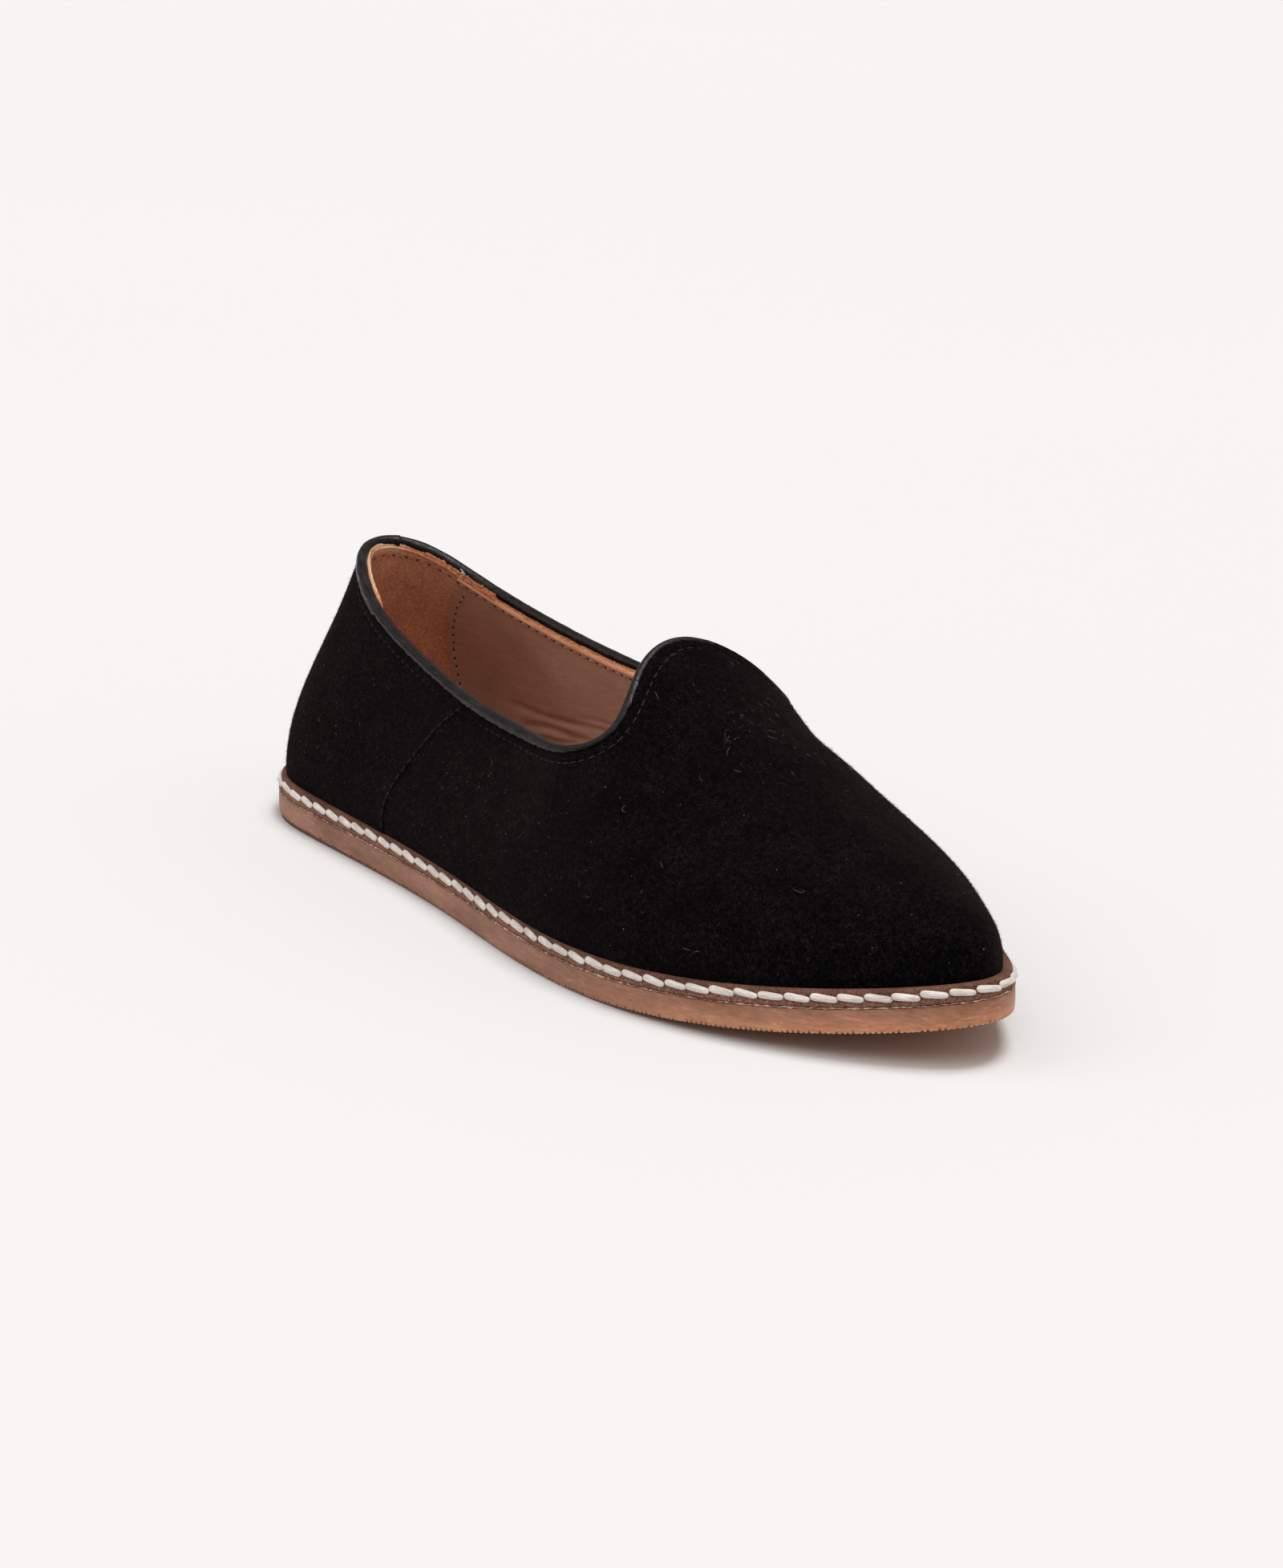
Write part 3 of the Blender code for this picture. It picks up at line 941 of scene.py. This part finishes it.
def make_outsole():
    """Gum sole on a thin set-back strip, whose ribs show as fine teeth along its bottom edge; towards the
    heel the strip is painted dark, partly darker rubber and partly painted shade under the sole's edge.
    """
    rng = np.random.default_rng(11)
    teeth = 2 * TEETH_PER_SIDE
    rings = side_rings(side_turns(TEETH_PER_SIDE * TOOTH_SAMPLES), OUTSOLE_SIDE, floor_line, outsole_top)
    phase = np.arange(teeth * TOOTH_SAMPLES) / TOOTH_SAMPLES
    uneven = rng.uniform(*TOOTH_SPREAD, teeth)[np.round(phase).astype(int) % teeth]
    x = rings[TREAD_BASE, :, 0]
    depth = TOOTH_DEPTH + (TOOTH_DEPTH_TOE - TOOTH_DEPTH) * toeward(x, 0.5, 0.3)
    groove = depth * uneven * ease(np.cos(2 * np.pi * phase) * 0.9 + 0.2)
    rings[TREAD_BASE, :, 2] += groove * (1 - near_heel(x))
    for ring, share in TREAD_LIFTS.items():
        strip = TREAD_FRONT + (TREAD_HEEL - TREAD_FRONT) * near_heel(rings[ring, :, 0])
        rings[ring, :, 2] += share * strip
    for ring, share in TOOTH_CUTS.items():
        rings[ring, :, 2] += share * groove
    points, faces = capped_rings(rings)
    x, z = points[:, 0], points[:, 2]
    height = (z - floor_line(x)) / (outsole_top(x) - floor_line(x))
    front = toeward(x, 0.55, 0.4)
    amber = (0.12 + 0.88 * front) * (1 - 0.85 * ease((height - 0.1) / 0.75))
    ring = np.repeat(np.arange(len(rings)), len(phase))
    # Mask of the set-back strip towards the heel, painted dark: partly darker rubber, partly painted shade
    # under the sole's edge.
    tread = (ring >= TREAD_BASE) * (ring <= TREAD_LIP) * near_heel(x)
    rubbed = (ring == TREAD_LIP) * front * rng.random(len(points))
    add_piece("gum_outsole", (points, faces), gum_rubber(), "outsole", "outsole", sharp=38,
              amber=amber, tread=tread, rubbed=rubbed)


def make_midsole():
    """Leather midsole whose rounded outer edge is the welt, with a shallow channel for the stitches."""
    turns = side_turns(620)
    rings = side_rings(turns, WELT_SIDE, lambda x: outsole_top(x) + GAP / 2, insole_base)
    share = np.arange(len(turns)) / len(turns)
    rough = WELT_ROUGH * ring_noise(share, 90, 420, 40, 21)
    rings[WELT_ROUGH_ROWS, :, :2] += outward(turns) * rough[:, None]
    points, faces = capped_rings(rings)
    heights = np.repeat([row[1] for row in WELT_SIDE], len(turns))
    cut_edge = 1 - ease((heights - 0.70) / 0.16)
    fuzzy = np.clip(0.25 + 0.55 * toeward(points[:, 0], 0.35, 0.45) + 0.35 * cut_edge, 0, 1)
    add_piece("leather_midsole", (points, faces), welt_leather(), "midsole", "midsole",
              cut_edge=cut_edge, fuzzy=fuzzy)


def make_burr():
    """Rough line of rubbed gum where midsole and outsole join."""
    count, around = 2600, 6
    turns = even_turns(sole_edge, 0, 360, count)
    share = np.arange(count) / count
    size = 0.18 + 0.06 * ring_noise(share, 60, 500, 60, 31) + 0.05 * ring_noise(share, 4, 24, 8, 32)
    size = np.clip(size, 0.10, 0.34)[:, None] * MM
    centre = with_height(inset_edge(turns, BURR_INSET), outsole_top)
    centre[:, 2] += GAP / 2 + 0.04 * MM * ring_noise(share, 40, 300, 30, 33)
    sections = centre[:, None] + circles(size * level_outward(turns), size * BURR_FLAT * UP, around)
    add_piece("joint_burr", swept_ring(sections), burr_rubber(), "outsole")


def bead(rows, around, blunt, taper=0.0):
    """Unit oval bead along x, thinner at its far end by the taper."""
    x, y, z = np.eye(3)
    along = np.sin(np.linspace(-0.985, 0.985, rows) * np.pi / 2)
    radius = (1 - np.abs(along) ** blunt) ** 0.5 * (1 - taper * ease(along / 2 + 0.5))
    return capped_tube(radius[:, None, None] * circles(y[None], z[None], around) + along[:, None, None] * x)


def place_beads(shape, centres, along, out, halves):
    """Copies of a unit bead, each with its own middle, directions and half sizes."""
    side = square_to(out, along)
    along = square_to(side, out)
    axes = np.stack([along, side, unit(out)], axis=1) * np.broadcast_to(halves, (len(centres), 3))[..., None]
    points = np.einsum("pk,nkj->npj", shape[0], axes) + centres[:, None]
    return points.reshape(-1, 3), repeat_faces(shape[1], len(shape[0]), len(centres))


def make_welt_stitches():
    """White stitches, nearly end to end, on the shoulder of the midsole."""
    rng = np.random.default_rng(41)
    around = run_lengths(sole_edge(np.linspace(0, 360, FINE_STEPS)))[-1]
    count = round(around / WELT_STITCH_PITCH)
    turns = even_turns(sole_edge, 0, 360, count) + rng.normal(0, 0.05, count)

    def line(turn):
        return with_height(inset_edge(turn, WELT_STITCH_INSET), outsole_top)

    nudge = 0.4
    along = unit(line(turns + nudge) - line(turns - nudge))
    out = level_outward(turns) * math.cos(WELT_STITCH_TILT) + UP * math.sin(WELT_STITCH_TILT)
    across = square_to(out, along)
    slant = WELT_STITCH_SLANT + rng.normal(0, 0.03, count)
    along = along * np.cos(slant)[:, None] - across * np.sin(slant)[:, None]
    centres = line(turns) + UP * (GAP + WELT_STITCH_HEIGHT) + out * WELT_STITCH_PROUD
    centres += across * rng.normal(0, 0.08 * MM, count)[:, None]
    halves = np.array(WELT_STITCH_HALF) * rng.normal(1, 0.035, (count, 3))
    shape = bead(25, 20, 6.0, taper=0.15)
    fibre = np.tile(shape[0] * THREAD_STREAK, (count, 1))
    fibre[:, 0] += 3 * np.repeat(np.arange(count), len(shape[0]))
    add_piece("welt_stitches", place_beads(shape, centres, along, out, halves), white_thread(), fibre=fibre)


def make_insole():
    """Leather sock over the insole board, cupped up a little at its edge."""
    per_side, across = 150, 25
    turns = side_turns(per_side)
    edge = inset_edge(turns, ledge(turns) + WALL - 0.1 * MM)
    lateral = edge[1:per_side]
    medial = edge[:per_side:-1]
    share = (1 - np.cos(np.linspace(0, np.pi, across))) / 2
    plan = lateral[:, None] + share[None, :, None] * (medial - lateral)[:, None]
    reach = np.linalg.norm(medial - lateral, axis=1)[:, None] * np.minimum(share, 1 - share)
    top = with_height(plan, insole_top)
    top[..., 2] += SOCK_CUP * ease(1 - reach / SOCK_CUP_WIDTH)
    base = with_height(plan, insole_base)
    leather = lining_leather("insole_leather", (0.30, 0.145, 0.092), (0.42, 0.215, 0.145))
    mesh = capped_tube(np.concatenate([top, base[:, ::-1]], axis=1))
    add_piece("leather_insole", mesh, leather, "insole", "insole", sharp=50)


# Upper
def crease_depth(points):
    """How deep the soft troughs of the vamp lie, with a slight swell beside each."""
    depth = np.zeros(points.shape[:-1])
    plan = points[..., :2] / MM
    for row in TROUGHS:
        trough = dict(zip(TROUGH_COLUMNS, row))
        start = np.array(trough["start"])
        run = np.array(trough["end"]) - start
        along = np.clip(((plan - start) @ run) / (run @ run), 0, 1)
        distance = np.linalg.norm(plan - start - along[..., None] * run, axis=-1) / trough["half"]
        swell = 0.35 * np.exp(-(distance - 1.8) ** 2)
        depth += trough["deep"] * MM * (np.exp(-distance ** 2) - swell)
    return depth


def upper_columns():
    """Even turns, and close ones on each counter seam so that its step is crisp."""
    near = SEAM_MIDDLE + SEAM_HALF * np.linspace(-1.6, 1.6, 9)
    return np.sort(np.concatenate([even_turns(sole_edge, 0, 360, UPPER_COLUMNS), near, 360 - near]))


def follow_seam(turns, climbs):
    """Turns of a grid whose columns bend to run along the counter seams."""
    near = ease(1 - np.abs(from_heel(turns) - SEAM_MIDDLE) / SEAM_REACH)
    side = np.where(turns < 180, 1.0, -1.0)
    return turns + side * near * (counter_seam(climbs) - SEAM_MIDDLE)


def suede_face(turn, climbs):
    """Outer face of the suede with its counter step, stitch groove, creases and slight unevenness."""
    points = last_point(turn, climbs)
    lift = counter_lift(turn, climbs)
    groove = GROOVE_DEEP * np.exp(-((rim_depths(SUEDE_TRIM) - COLLAR_ROW) / GROOVE_WIDTH) ** 2)
    lift[:RIM_ROWS] -= groove[:, None]
    lift -= crease_depth(points)
    middle = ease((1 - climbs) * 6) * ease(climbs * 6)
    lift += SUEDE_UNEVEN * middle * ring_noise(turn / 360 + 0.13 * climbs, 5, 17, 8, 51)
    return points + lift[..., None] * last_normal(turn, climbs)


def make_upper():
    """Suede shell: dense outside, plain inside, closed at the collar and at the sole."""
    turns = upper_columns()
    climbs = wall_climbs(turns, SUEDE_TRIM, WALL_ROWS)
    turn = follow_seam(turns, climbs)
    outer = suede_face(turn, climbs)
    foot = outer[-1:] - 2 * GAP * UP
    turn, climbs = turn[::-INNER_STEP], climbs[::-INNER_STEP]
    inner = last_point(turn, climbs)
    inward = SUEDE_THICK + crease_depth(inner)
    inner = inner - inward[..., None] * last_normal(turn, climbs)
    add_piece("suede_upper", swept_ring(np.concatenate([outer, foot, inner])), suede(), "upper", "upper")
    return turns, outer[:-FOOT_ROWS]


def make_nap(outer):
    """Short fibres standing off the suede, brushed down and back, in thin closed spikes."""
    rng = np.random.default_rng(61)
    size = (NAP_COUNT, 1)
    ahead = np.roll(outer, -1, axis=1)
    area = np.linalg.norm(np.cross(ahead[:-1] - outer[:-1], outer[1:] - outer[:-1]), axis=-1).ravel()
    picks = np.searchsorted(np.cumsum(area) / area.sum(), rng.random(NAP_COUNT))
    row, column = np.divmod(np.minimum(picks, area.size - 1), outer.shape[1])
    a, b = rng.random((2, *size))
    start = outer[row, column] * (1 - a) * (1 - b) + ahead[row, column] * a * (1 - b)
    start += outer[row + 1, column] * (1 - a) * b + ahead[row + 1, column] * a * b
    down = unit(outer[row + 1, column] - outer[row, column])
    normal = square_to(down, ahead[row, column] - outer[row, column])
    lean = rng.normal(0, 0.75, size)
    lie = down * np.cos(lean) + np.cross(normal, down) * np.sin(lean)
    lift = rng.uniform(0.25, 1.0, size)
    length = rng.uniform(*NAP_LENGTHS, size) * MM
    length *= np.where(rng.random(size) < NAP_STRAY, NAP_STRAY_LONGER, 1.0)
    tip = start + length * unit(lie + lift * normal)
    side = square_to(lie, normal) * NAP_HALF * MM
    base = start - NAP_ROOT * MM * normal
    points = np.stack([base + side, base - side, base + NAP_THICK * MM * normal, tip], axis=1).reshape(-1, 3)
    spike = [np.array([(0, 1, 2), (0, 3, 1), (1, 3, 2), (2, 3, 0)])]
    add_piece("suede_nap", (points, repeat_faces(spike, 4, NAP_COUNT)), nap(), "upper")


def stitch_row(line, halves, shift=STITCH_SHIFT):
    """Stitches along a line: its points, outward directions, pitch, seed and whether it is closed."""
    points, normals, pitch, seed, closed = line
    rng = np.random.default_rng(seed)
    if closed:
        points = np.concatenate([points, points[:1]])
        normals = np.concatenate([normals, normals[:1]])
    runs = run_lengths(points)
    count = int(runs[-1] / pitch)
    middles = (np.arange(count) + shift) * runs[-1] / count
    middles += rng.normal(0, 0.03 * pitch, count)

    def at(where, values):
        return np.stack([np.interp(where, runs, column) for column in values.T], axis=-1)

    along = unit(at(middles + 0.3 * pitch, points) - at(middles - 0.3 * pitch, points))
    sizes = np.array(halves) * rng.normal(1, 0.05, (count, 3))
    return place_beads(bead(9, 8, 4.0), at(middles, points), along, unit(at(middles, normals)), sizes)


def make_suede_stitches(turns):
    """Dark grey rows below the collar and along the counter seams."""
    climbs = rim_climbs(turns, [COLLAR_ROW])[:, 0]
    lift = counter_lift(turns, climbs) - table_curve(COLLAR_SINKS, turns) * MM
    collar = (*surface_row(turns, climbs, lift[:, None]), COLLAR_PITCH, 71, True)
    rows = [stitch_row(collar, COLLAR_STITCH_HALF)]
    climb = np.linspace(0.03, rim_climbs([SEAM_MIDDLE], [SEAM_TOP])[0, 0], 120)
    turn = counter_seam(climb) - SEAM_STITCH_SET
    for side, seed in ((1, 72), (-1, 73)):
        seam = (*surface_row(side * turn, climb, COUNTER_STEP + 0.02 * MM), SEAM_PITCH, seed, False)
        rows.append(stitch_row(seam, SEAM_STITCH_HALF))
    thread = plain_thread("grey_thread", (0.008, 0.007, 0.007), (0.022, 0.020, 0.020))
    add_piece("suede_stitches", join(rows), thread, "upper")


# Binding, lining and raw edge
def rim_frame(turns):
    """On the topline: its points, the way out from the last, and the way up off the wall."""
    nudge = 0.2
    along = unit(topline(turns + nudge) - topline(turns - nudge))
    out = last_normal(turns, np.ones(len(turns)))
    return topline(turns), out, square_to(out, along)


def smooth_loop(corners, count):
    """Closed curve through the corners of a section, with count points."""
    knots = np.linspace(0, 360, len(corners), endpoint=False)
    where = np.linspace(0, 360, count, endpoint=False)
    return np.stack([ring_spline(knots, column)(where) for column in zip(*corners)], axis=-1)


def sweep_rim(turns, across, high):
    """Closed ring of sections given in millimetres out from the last and up off the wall."""
    points, out, up = rim_frame(turns)
    high = high + ring_spline(*zip(*RIM_LIFTS))(turns)[:, None]
    offsets = across[..., None] * out[:, None] + high[..., None] * up[:, None]
    return swept_ring(points[:, None] + offsets * MM)


def make_binding():
    """Rolled leather binding: its lip over the suede, overlap at the heel and shorter near stretch."""
    count, around = 760, 30
    turns = even_turns(topline, 0, 360, count)
    wide, tall = smooth_loop(BINDING, around).T
    lip, girth = (table_curve(LIPS, turns, LIP_COLUMNS.index(name))[:, None] for name in ("lip", "girth"))
    share = np.arange(count) / count
    uneven = 1 + 0.025 * ring_noise(share, 12, 70, 16, 81)[:, None]
    across = BINDING_MIDDLE + (wide - BINDING_MIDDLE) * girth * uneven
    edge = np.exp(-((tall + 1.5) / 0.4) ** 2) * np.clip(wide + 0.6, 0, 1)
    high = tall * np.where(tall < 0, lip, girth) + edge * 0.08 * ring_noise(share, 30, 160, 24, 82)[:, None]
    mesh = sweep_rim(turns, across, high)
    add_piece("rolled_binding", mesh, binding_leather(), "collar_binding", "collar_binding")


def make_raw_edge():
    """Two cut leather edges that stand inside the binding, slightly ragged, less so at the heel."""
    count = 900
    turns = even_turns(topline, 0, 360, count)
    share = np.arange(count) / count
    ragged = 0.25 + 0.75 * ease((from_heel(turns) - 12) / 25)
    layers = []
    for layer, seed in zip(EDGE_LAYERS, (91, 95)):
        wide, tall = smooth_loop(layer, 16).T
        standing = ease((tall - tall.max()) / 1.4 + 1)
        slow = 0.08 * ragged * ring_noise(share, 20, 90, 20, seed)
        quick = 0.11 * ragged * ring_noise(share, 120, 420, 40, seed + 1)
        rise = table_curve(EDGE_RISES, turns) + slow + quick
        lean = table_curve(EDGE_LEANS, turns) + 0.05 * ring_noise(share, 30, 260, 30, seed + 2)
        layers.append(sweep_rim(turns, wide + standing * lean[:, None], tall + standing * rise[:, None]))
    points, faces = join(layers)
    x, y = points[:, 0] / MM, points[:, 1] / MM
    heelward = ease((42 - x) / 9) * ease((7 - y) / 5)
    add_piece("raw_lining_edge", (points, faces), raw_leather(), "insole", sharp=60, heelward=heelward)


def seam_turn(depth):
    """Turn of the heel lining's seam at depths below the topline."""
    return table_curve(LINING_SEAM, np.asarray(depth) / MM)


def lining_rows(turns):
    """Climbs of the lining's rows, and how deep each lies at the heel."""
    near = rim_depths(LINING_TOP)
    rest = near[-1] + (HEEL_LINING_LENGTH - near[-1]) * np.linspace(0, 1, LINING_ROWS + 1)[1:]
    return wall_climbs(turns, LINING_TOP, LINING_ROWS), np.concatenate([near, rest])


def lining_offset(depths):
    """How far the lining's face lies inside the last: full at its cut edge, drawn in at the stitch row."""
    full = 0.62 * MM * ease((5.5 * MM - depths) / (4.0 * MM))
    pinch = 0.09 * MM * np.exp(-((depths - LINING_ROW) / (0.6 * MM)) ** 2)
    bevel = LINING_BEVEL_DEEP * ease(1 - (depths - LINING_TOP) / LINING_BEVEL)
    return WALL + full - bevel - pinch


def lining_crease(turn, depths):
    """How deep the folds of the lining lie, each along a line in turn and depth."""
    fold = np.zeros(turn.shape)
    for row in LINING_CREASES:
        crease = dict(zip(CREASE_COLUMNS, row))
        along = (turn - crease["turn_1"]) / (crease["turn_2"] - crease["turn_1"])
        middle = crease["depth_1"] + (crease["depth_2"] - crease["depth_1"]) * along
        middle = middle + 0.5 * np.sin(9 * along + crease["turn_1"])
        ends = ease(along * 4) * ease((1 - along) * 4)
        fold += crease["deep"] * MM * ends * np.exp(-((depths / MM - middle) / crease["half"]) ** 2)
    return fold


def lining_patch(name, material, first, last, columns, proud):
    """A closed lining piece between two turns on each row of the wall."""
    table_turns = np.linspace(-60, 420, 321)
    table, depths = lining_rows(table_turns)
    low, high = first(depths)[:, None], last(depths)[:, None]
    turn = low + np.linspace(0, 1, columns) * (high - low)
    climbs = np.array([np.interp(turn[i], table_turns, table[i]) for i in range(len(table))])
    normal = last_normal(turn, climbs)
    points = last_point(turn, climbs)
    points = points - crease_depth(points)[..., None] * normal
    inward = lining_offset(depths)[:, None] + proud - lining_crease(turn, depths[:, None])
    face = points - inward[..., None] * normal
    back = points - (SUEDE_THICK + 0.05 * MM) * normal
    cut = np.where(depths < LINING_TOP + LINING_BEVEL, 1.0, 0.0)
    add_piece(name, slab(face, back), material, "insole", sharp=60, cut=np.tile(np.repeat(cut, columns), 2))


def make_linings():
    """Napped heel lining, and smooth quarter lining that overlaps it at the seams and runs on to the toe."""
    def heel_end(depths):
        return seam_turn(depths) + LINING_TUCK

    lining_patch("heel_lining", lining_suede(), lambda d: -heel_end(d), heel_end, 130, 0.0)
    smooth = lining_leather("quarter_lining_leather", (0.385, 0.225, 0.158), (0.500, 0.310, 0.222))
    lining_patch("quarter_lining", smooth, seam_turn, lambda d: 360 - seam_turn(d), 420, LINING_LAP)


def seam_climbs(turn, depths):
    """Climbs at depths below the topline, each at its own turn."""
    table_turns = np.linspace(15, 60, 91)
    table, row_depths = lining_rows(table_turns)
    at_turn = np.array([np.interp(turn, table_turns, row) for row in table])
    return np.array([np.interp(depth, row_depths, at_turn[:, i]) for i, depth in enumerate(depths)])


def make_lining_stitches():
    """Brown stitches and their needle holes, below the lining's edge and down the heel lining's seams."""
    turns = even_turns(topline, 0, 360, 720)
    climbs = rim_climbs(turns, [LINING_ROW])[:, 0]
    proud = np.where(from_heel(turns) > seam_turn(LINING_ROW), LINING_LAP, 0.0)
    inward = lining_offset(np.array([LINING_ROW])) + proud
    points, normals = surface_row(turns, climbs, -inward[:, None])
    lines = [(points, -normals, LINING_PITCH, 101, True)]
    depths = np.linspace(LINING_ROW + 1.5 * MM, 50 * MM, 120)
    turn = seam_turn(depths) + LINING_SEAM_SET
    climb = seam_climbs(turn, depths)
    for side, seed in ((1, 102), (-1, 103)):
        points, normals = surface_row(side * turn, climb, -(WALL + LINING_LAP))
        lines.append((points, -normals, SEAM_PITCH, seed, False))
    thread = plain_thread("brown_thread", (0.330, 0.205, 0.155), (0.500, 0.345, 0.280))
    stitches = [stitch_row(line, LINING_STITCH_HALF) for line in lines]
    add_piece("lining_stitches", join(stitches), thread, "insole")
    shade = plain_thread("hole_shade", (0.012, 0.006, 0.004), (0.030, 0.014, 0.010))
    holes = [stitch_row(line, LINING_HOLE_HALF, HOLE_SHIFT) for line in lines]
    add_piece("lining_holes", join(holes), shade, "insole")


# Thread end and lint
def thread_tube(path, radius, around=6):
    """Thin closed tube along a short path."""
    along = unit(np.gradient(path, axis=0))
    side = square_to(along, np.array([0.31, 0.52, 0.79]))
    taper = (1 - np.abs(np.linspace(-1, 1, len(path))) ** 6 * 0.7)[:, None, None] * radius
    return capped_tube(path[:, None] + taper * circles(side, np.cross(along, side), around))


def make_knot():
    """Small pale thread end tied over the raw edge on the medial side."""
    point, out, up = (block[0] for block in rim_frame(np.array([KNOT_TURN])))
    along = np.cross(out, up)
    t = np.linspace(0, 1, 14)[:, None]
    middle = point + (-2.6 * out + 0.1 * up) * MM
    wrap = 1.3 * (t - 0.5) * (out - 0.9 * up) * 2 + np.sin(t * np.pi) * (0.35 * up - 0.35 * out)
    tail = t * (1.5 * up - 0.5 * along) - 0.5 * t * out + 0.3 * np.sin(t * 5) * along
    loop = 0.5 * (np.cos(t * 6) * along + np.sin(t * 6) * up - 0.5 * out)
    mesh = join([thread_tube(middle + path * MM, KNOT_RADIUS) for path in (wrap, tail, loop)])
    add_piece("thread_end", mesh, plain_thread("pale_thread", (0.42, 0.33, 0.27), (0.72, 0.62, 0.54)))


def make_lint(outer):
    """Grey specks on the suede and loose fibres, more of them on the vamp in front of the tongue."""
    rng = np.random.default_rng(111)
    rows, columns = outer.shape[:2]
    row = rng.integers(RIM_ROWS, rows - 3, LINT_SPECKS)
    column = rng.integers(0, columns, LINT_SPECKS)
    start = outer[row, column]
    normal = square_to(outer[row + 1, column] - start, outer[row, (column + 1) % columns] - start)
    along = unit(rng.normal(size=(LINT_SPECKS, 3)))
    sizes = rng.uniform(0.06, 0.15, (LINT_SPECKS, 1)) * MM * np.array([1.4, 1.0, 0.7])
    meshes = [place_beads(bead(4, 5, 2.0), start + 0.10 * MM * normal, along, normal, sizes)]
    vamp = last_point(*LINT_MIDDLE)
    t = np.linspace(0, 1, 9)[:, None]
    for i in range(LINT_CLUSTER + LINT_LOOSE):
        row, column = rng.integers(RIM_ROWS, rows - 4), rng.integers(0, columns)
        if i < LINT_CLUSTER:
            nearest = np.linalg.norm(outer[2:-4] - (vamp + rng.normal(0, LINT_SPREAD, 3)), axis=-1)
            row, column = np.unravel_index(nearest.argmin(), nearest.shape)
        start = outer[row, column]
        along = unit(outer[row + 1, column] - start)
        across = unit(outer[row, (column + 1) % columns] - start)
        normal = square_to(along, across)
        angle = rng.uniform(0, 2 * np.pi) + rng.normal(0, 1.2) * t
        path = start + rng.uniform(0.6, 2.2) * MM * t * (np.cos(angle) * along + np.sin(angle) * across)
        rise = rng.uniform(0.1, 0.6) * np.sin(np.pi * rng.uniform(0.5, 1.0) * t)
        meshes.append(thread_tube(path + normal * (0.12 + rise) * MM, LINT_RADIUS, 4))
    add_piece("lint", join(meshes), lint(), "upper")


# Stage
def make_stage():
    """Plain pale floor."""
    data = bpy.data.meshes.new("studio_floor")
    corners = [(x * FLOOR_HALF, y * FLOOR_HALF, 0) for x, y in ((-1, -1), (1, -1), (1, 1), (-1, 1))]
    data.from_pydata(corners, [], [(0, 1, 2, 3)])
    data.materials.append(floor_paint())
    floor = add_object("studio_floor", data)


def make_light():
    """Light overhead, weaker lamps from left, right and high in front, and a warm glow of the room."""
    world = bpy.data.worlds.new("studio")
    world.use_nodes = True
    sky = world.node_tree.nodes["Background"]
    sky.inputs["Color"].default_value = ROOM_COLOUR
    sky.inputs["Strength"].default_value = ROOM_STRENGTH
    bpy.context.scene.world = world
    for name, source, angle, power, colour in LAMPS:
        data = bpy.data.lights.new(name, "SUN")
        data.angle = math.radians(angle)
        data.energy = power
        data.color = colour
        add_object(name, data).rotation_euler = Vector(source).to_track_quat("Z", "Y").to_euler()
    bpy.context.scene.view_settings.view_transform = "Standard"


def make_camera():
    """Camera at the place and angle fitted to the photo."""
    data = bpy.data.cameras.new("photo_camera")
    data.lens = CAMERA_LENS
    data.sensor_width = CAMERA_SENSOR
    data.clip_start = 0.05
    level = math.cos(CAMERA_ELEVATION)
    sine, cosine = math.sin(CAMERA_AZIMUTH), math.cos(CAMERA_AZIMUTH)
    back = Vector((sine * level, -cosine * level, math.sin(CAMERA_ELEVATION)))
    right = Vector((cosine, sine, 0.0))
    facing = Matrix((right, back.cross(right), back)).transposed().to_4x4()
    camera = add_object("photo_camera", data)
    camera.matrix_world = Matrix.Translation(CAMERA_PLACE) @ facing
    bpy.context.scene.camera = camera


def main():
    make_outsole()
    make_midsole()
    make_burr()
    make_welt_stitches()
    make_insole()
    turns, outer = make_upper()
    make_nap(outer)
    make_suede_stitches(turns)
    make_binding()
    make_raw_edge()
    make_linings()
    make_lining_stitches()
    make_knot()
    make_lint(outer)
    make_stage()
    make_light()
    make_camera()


main()
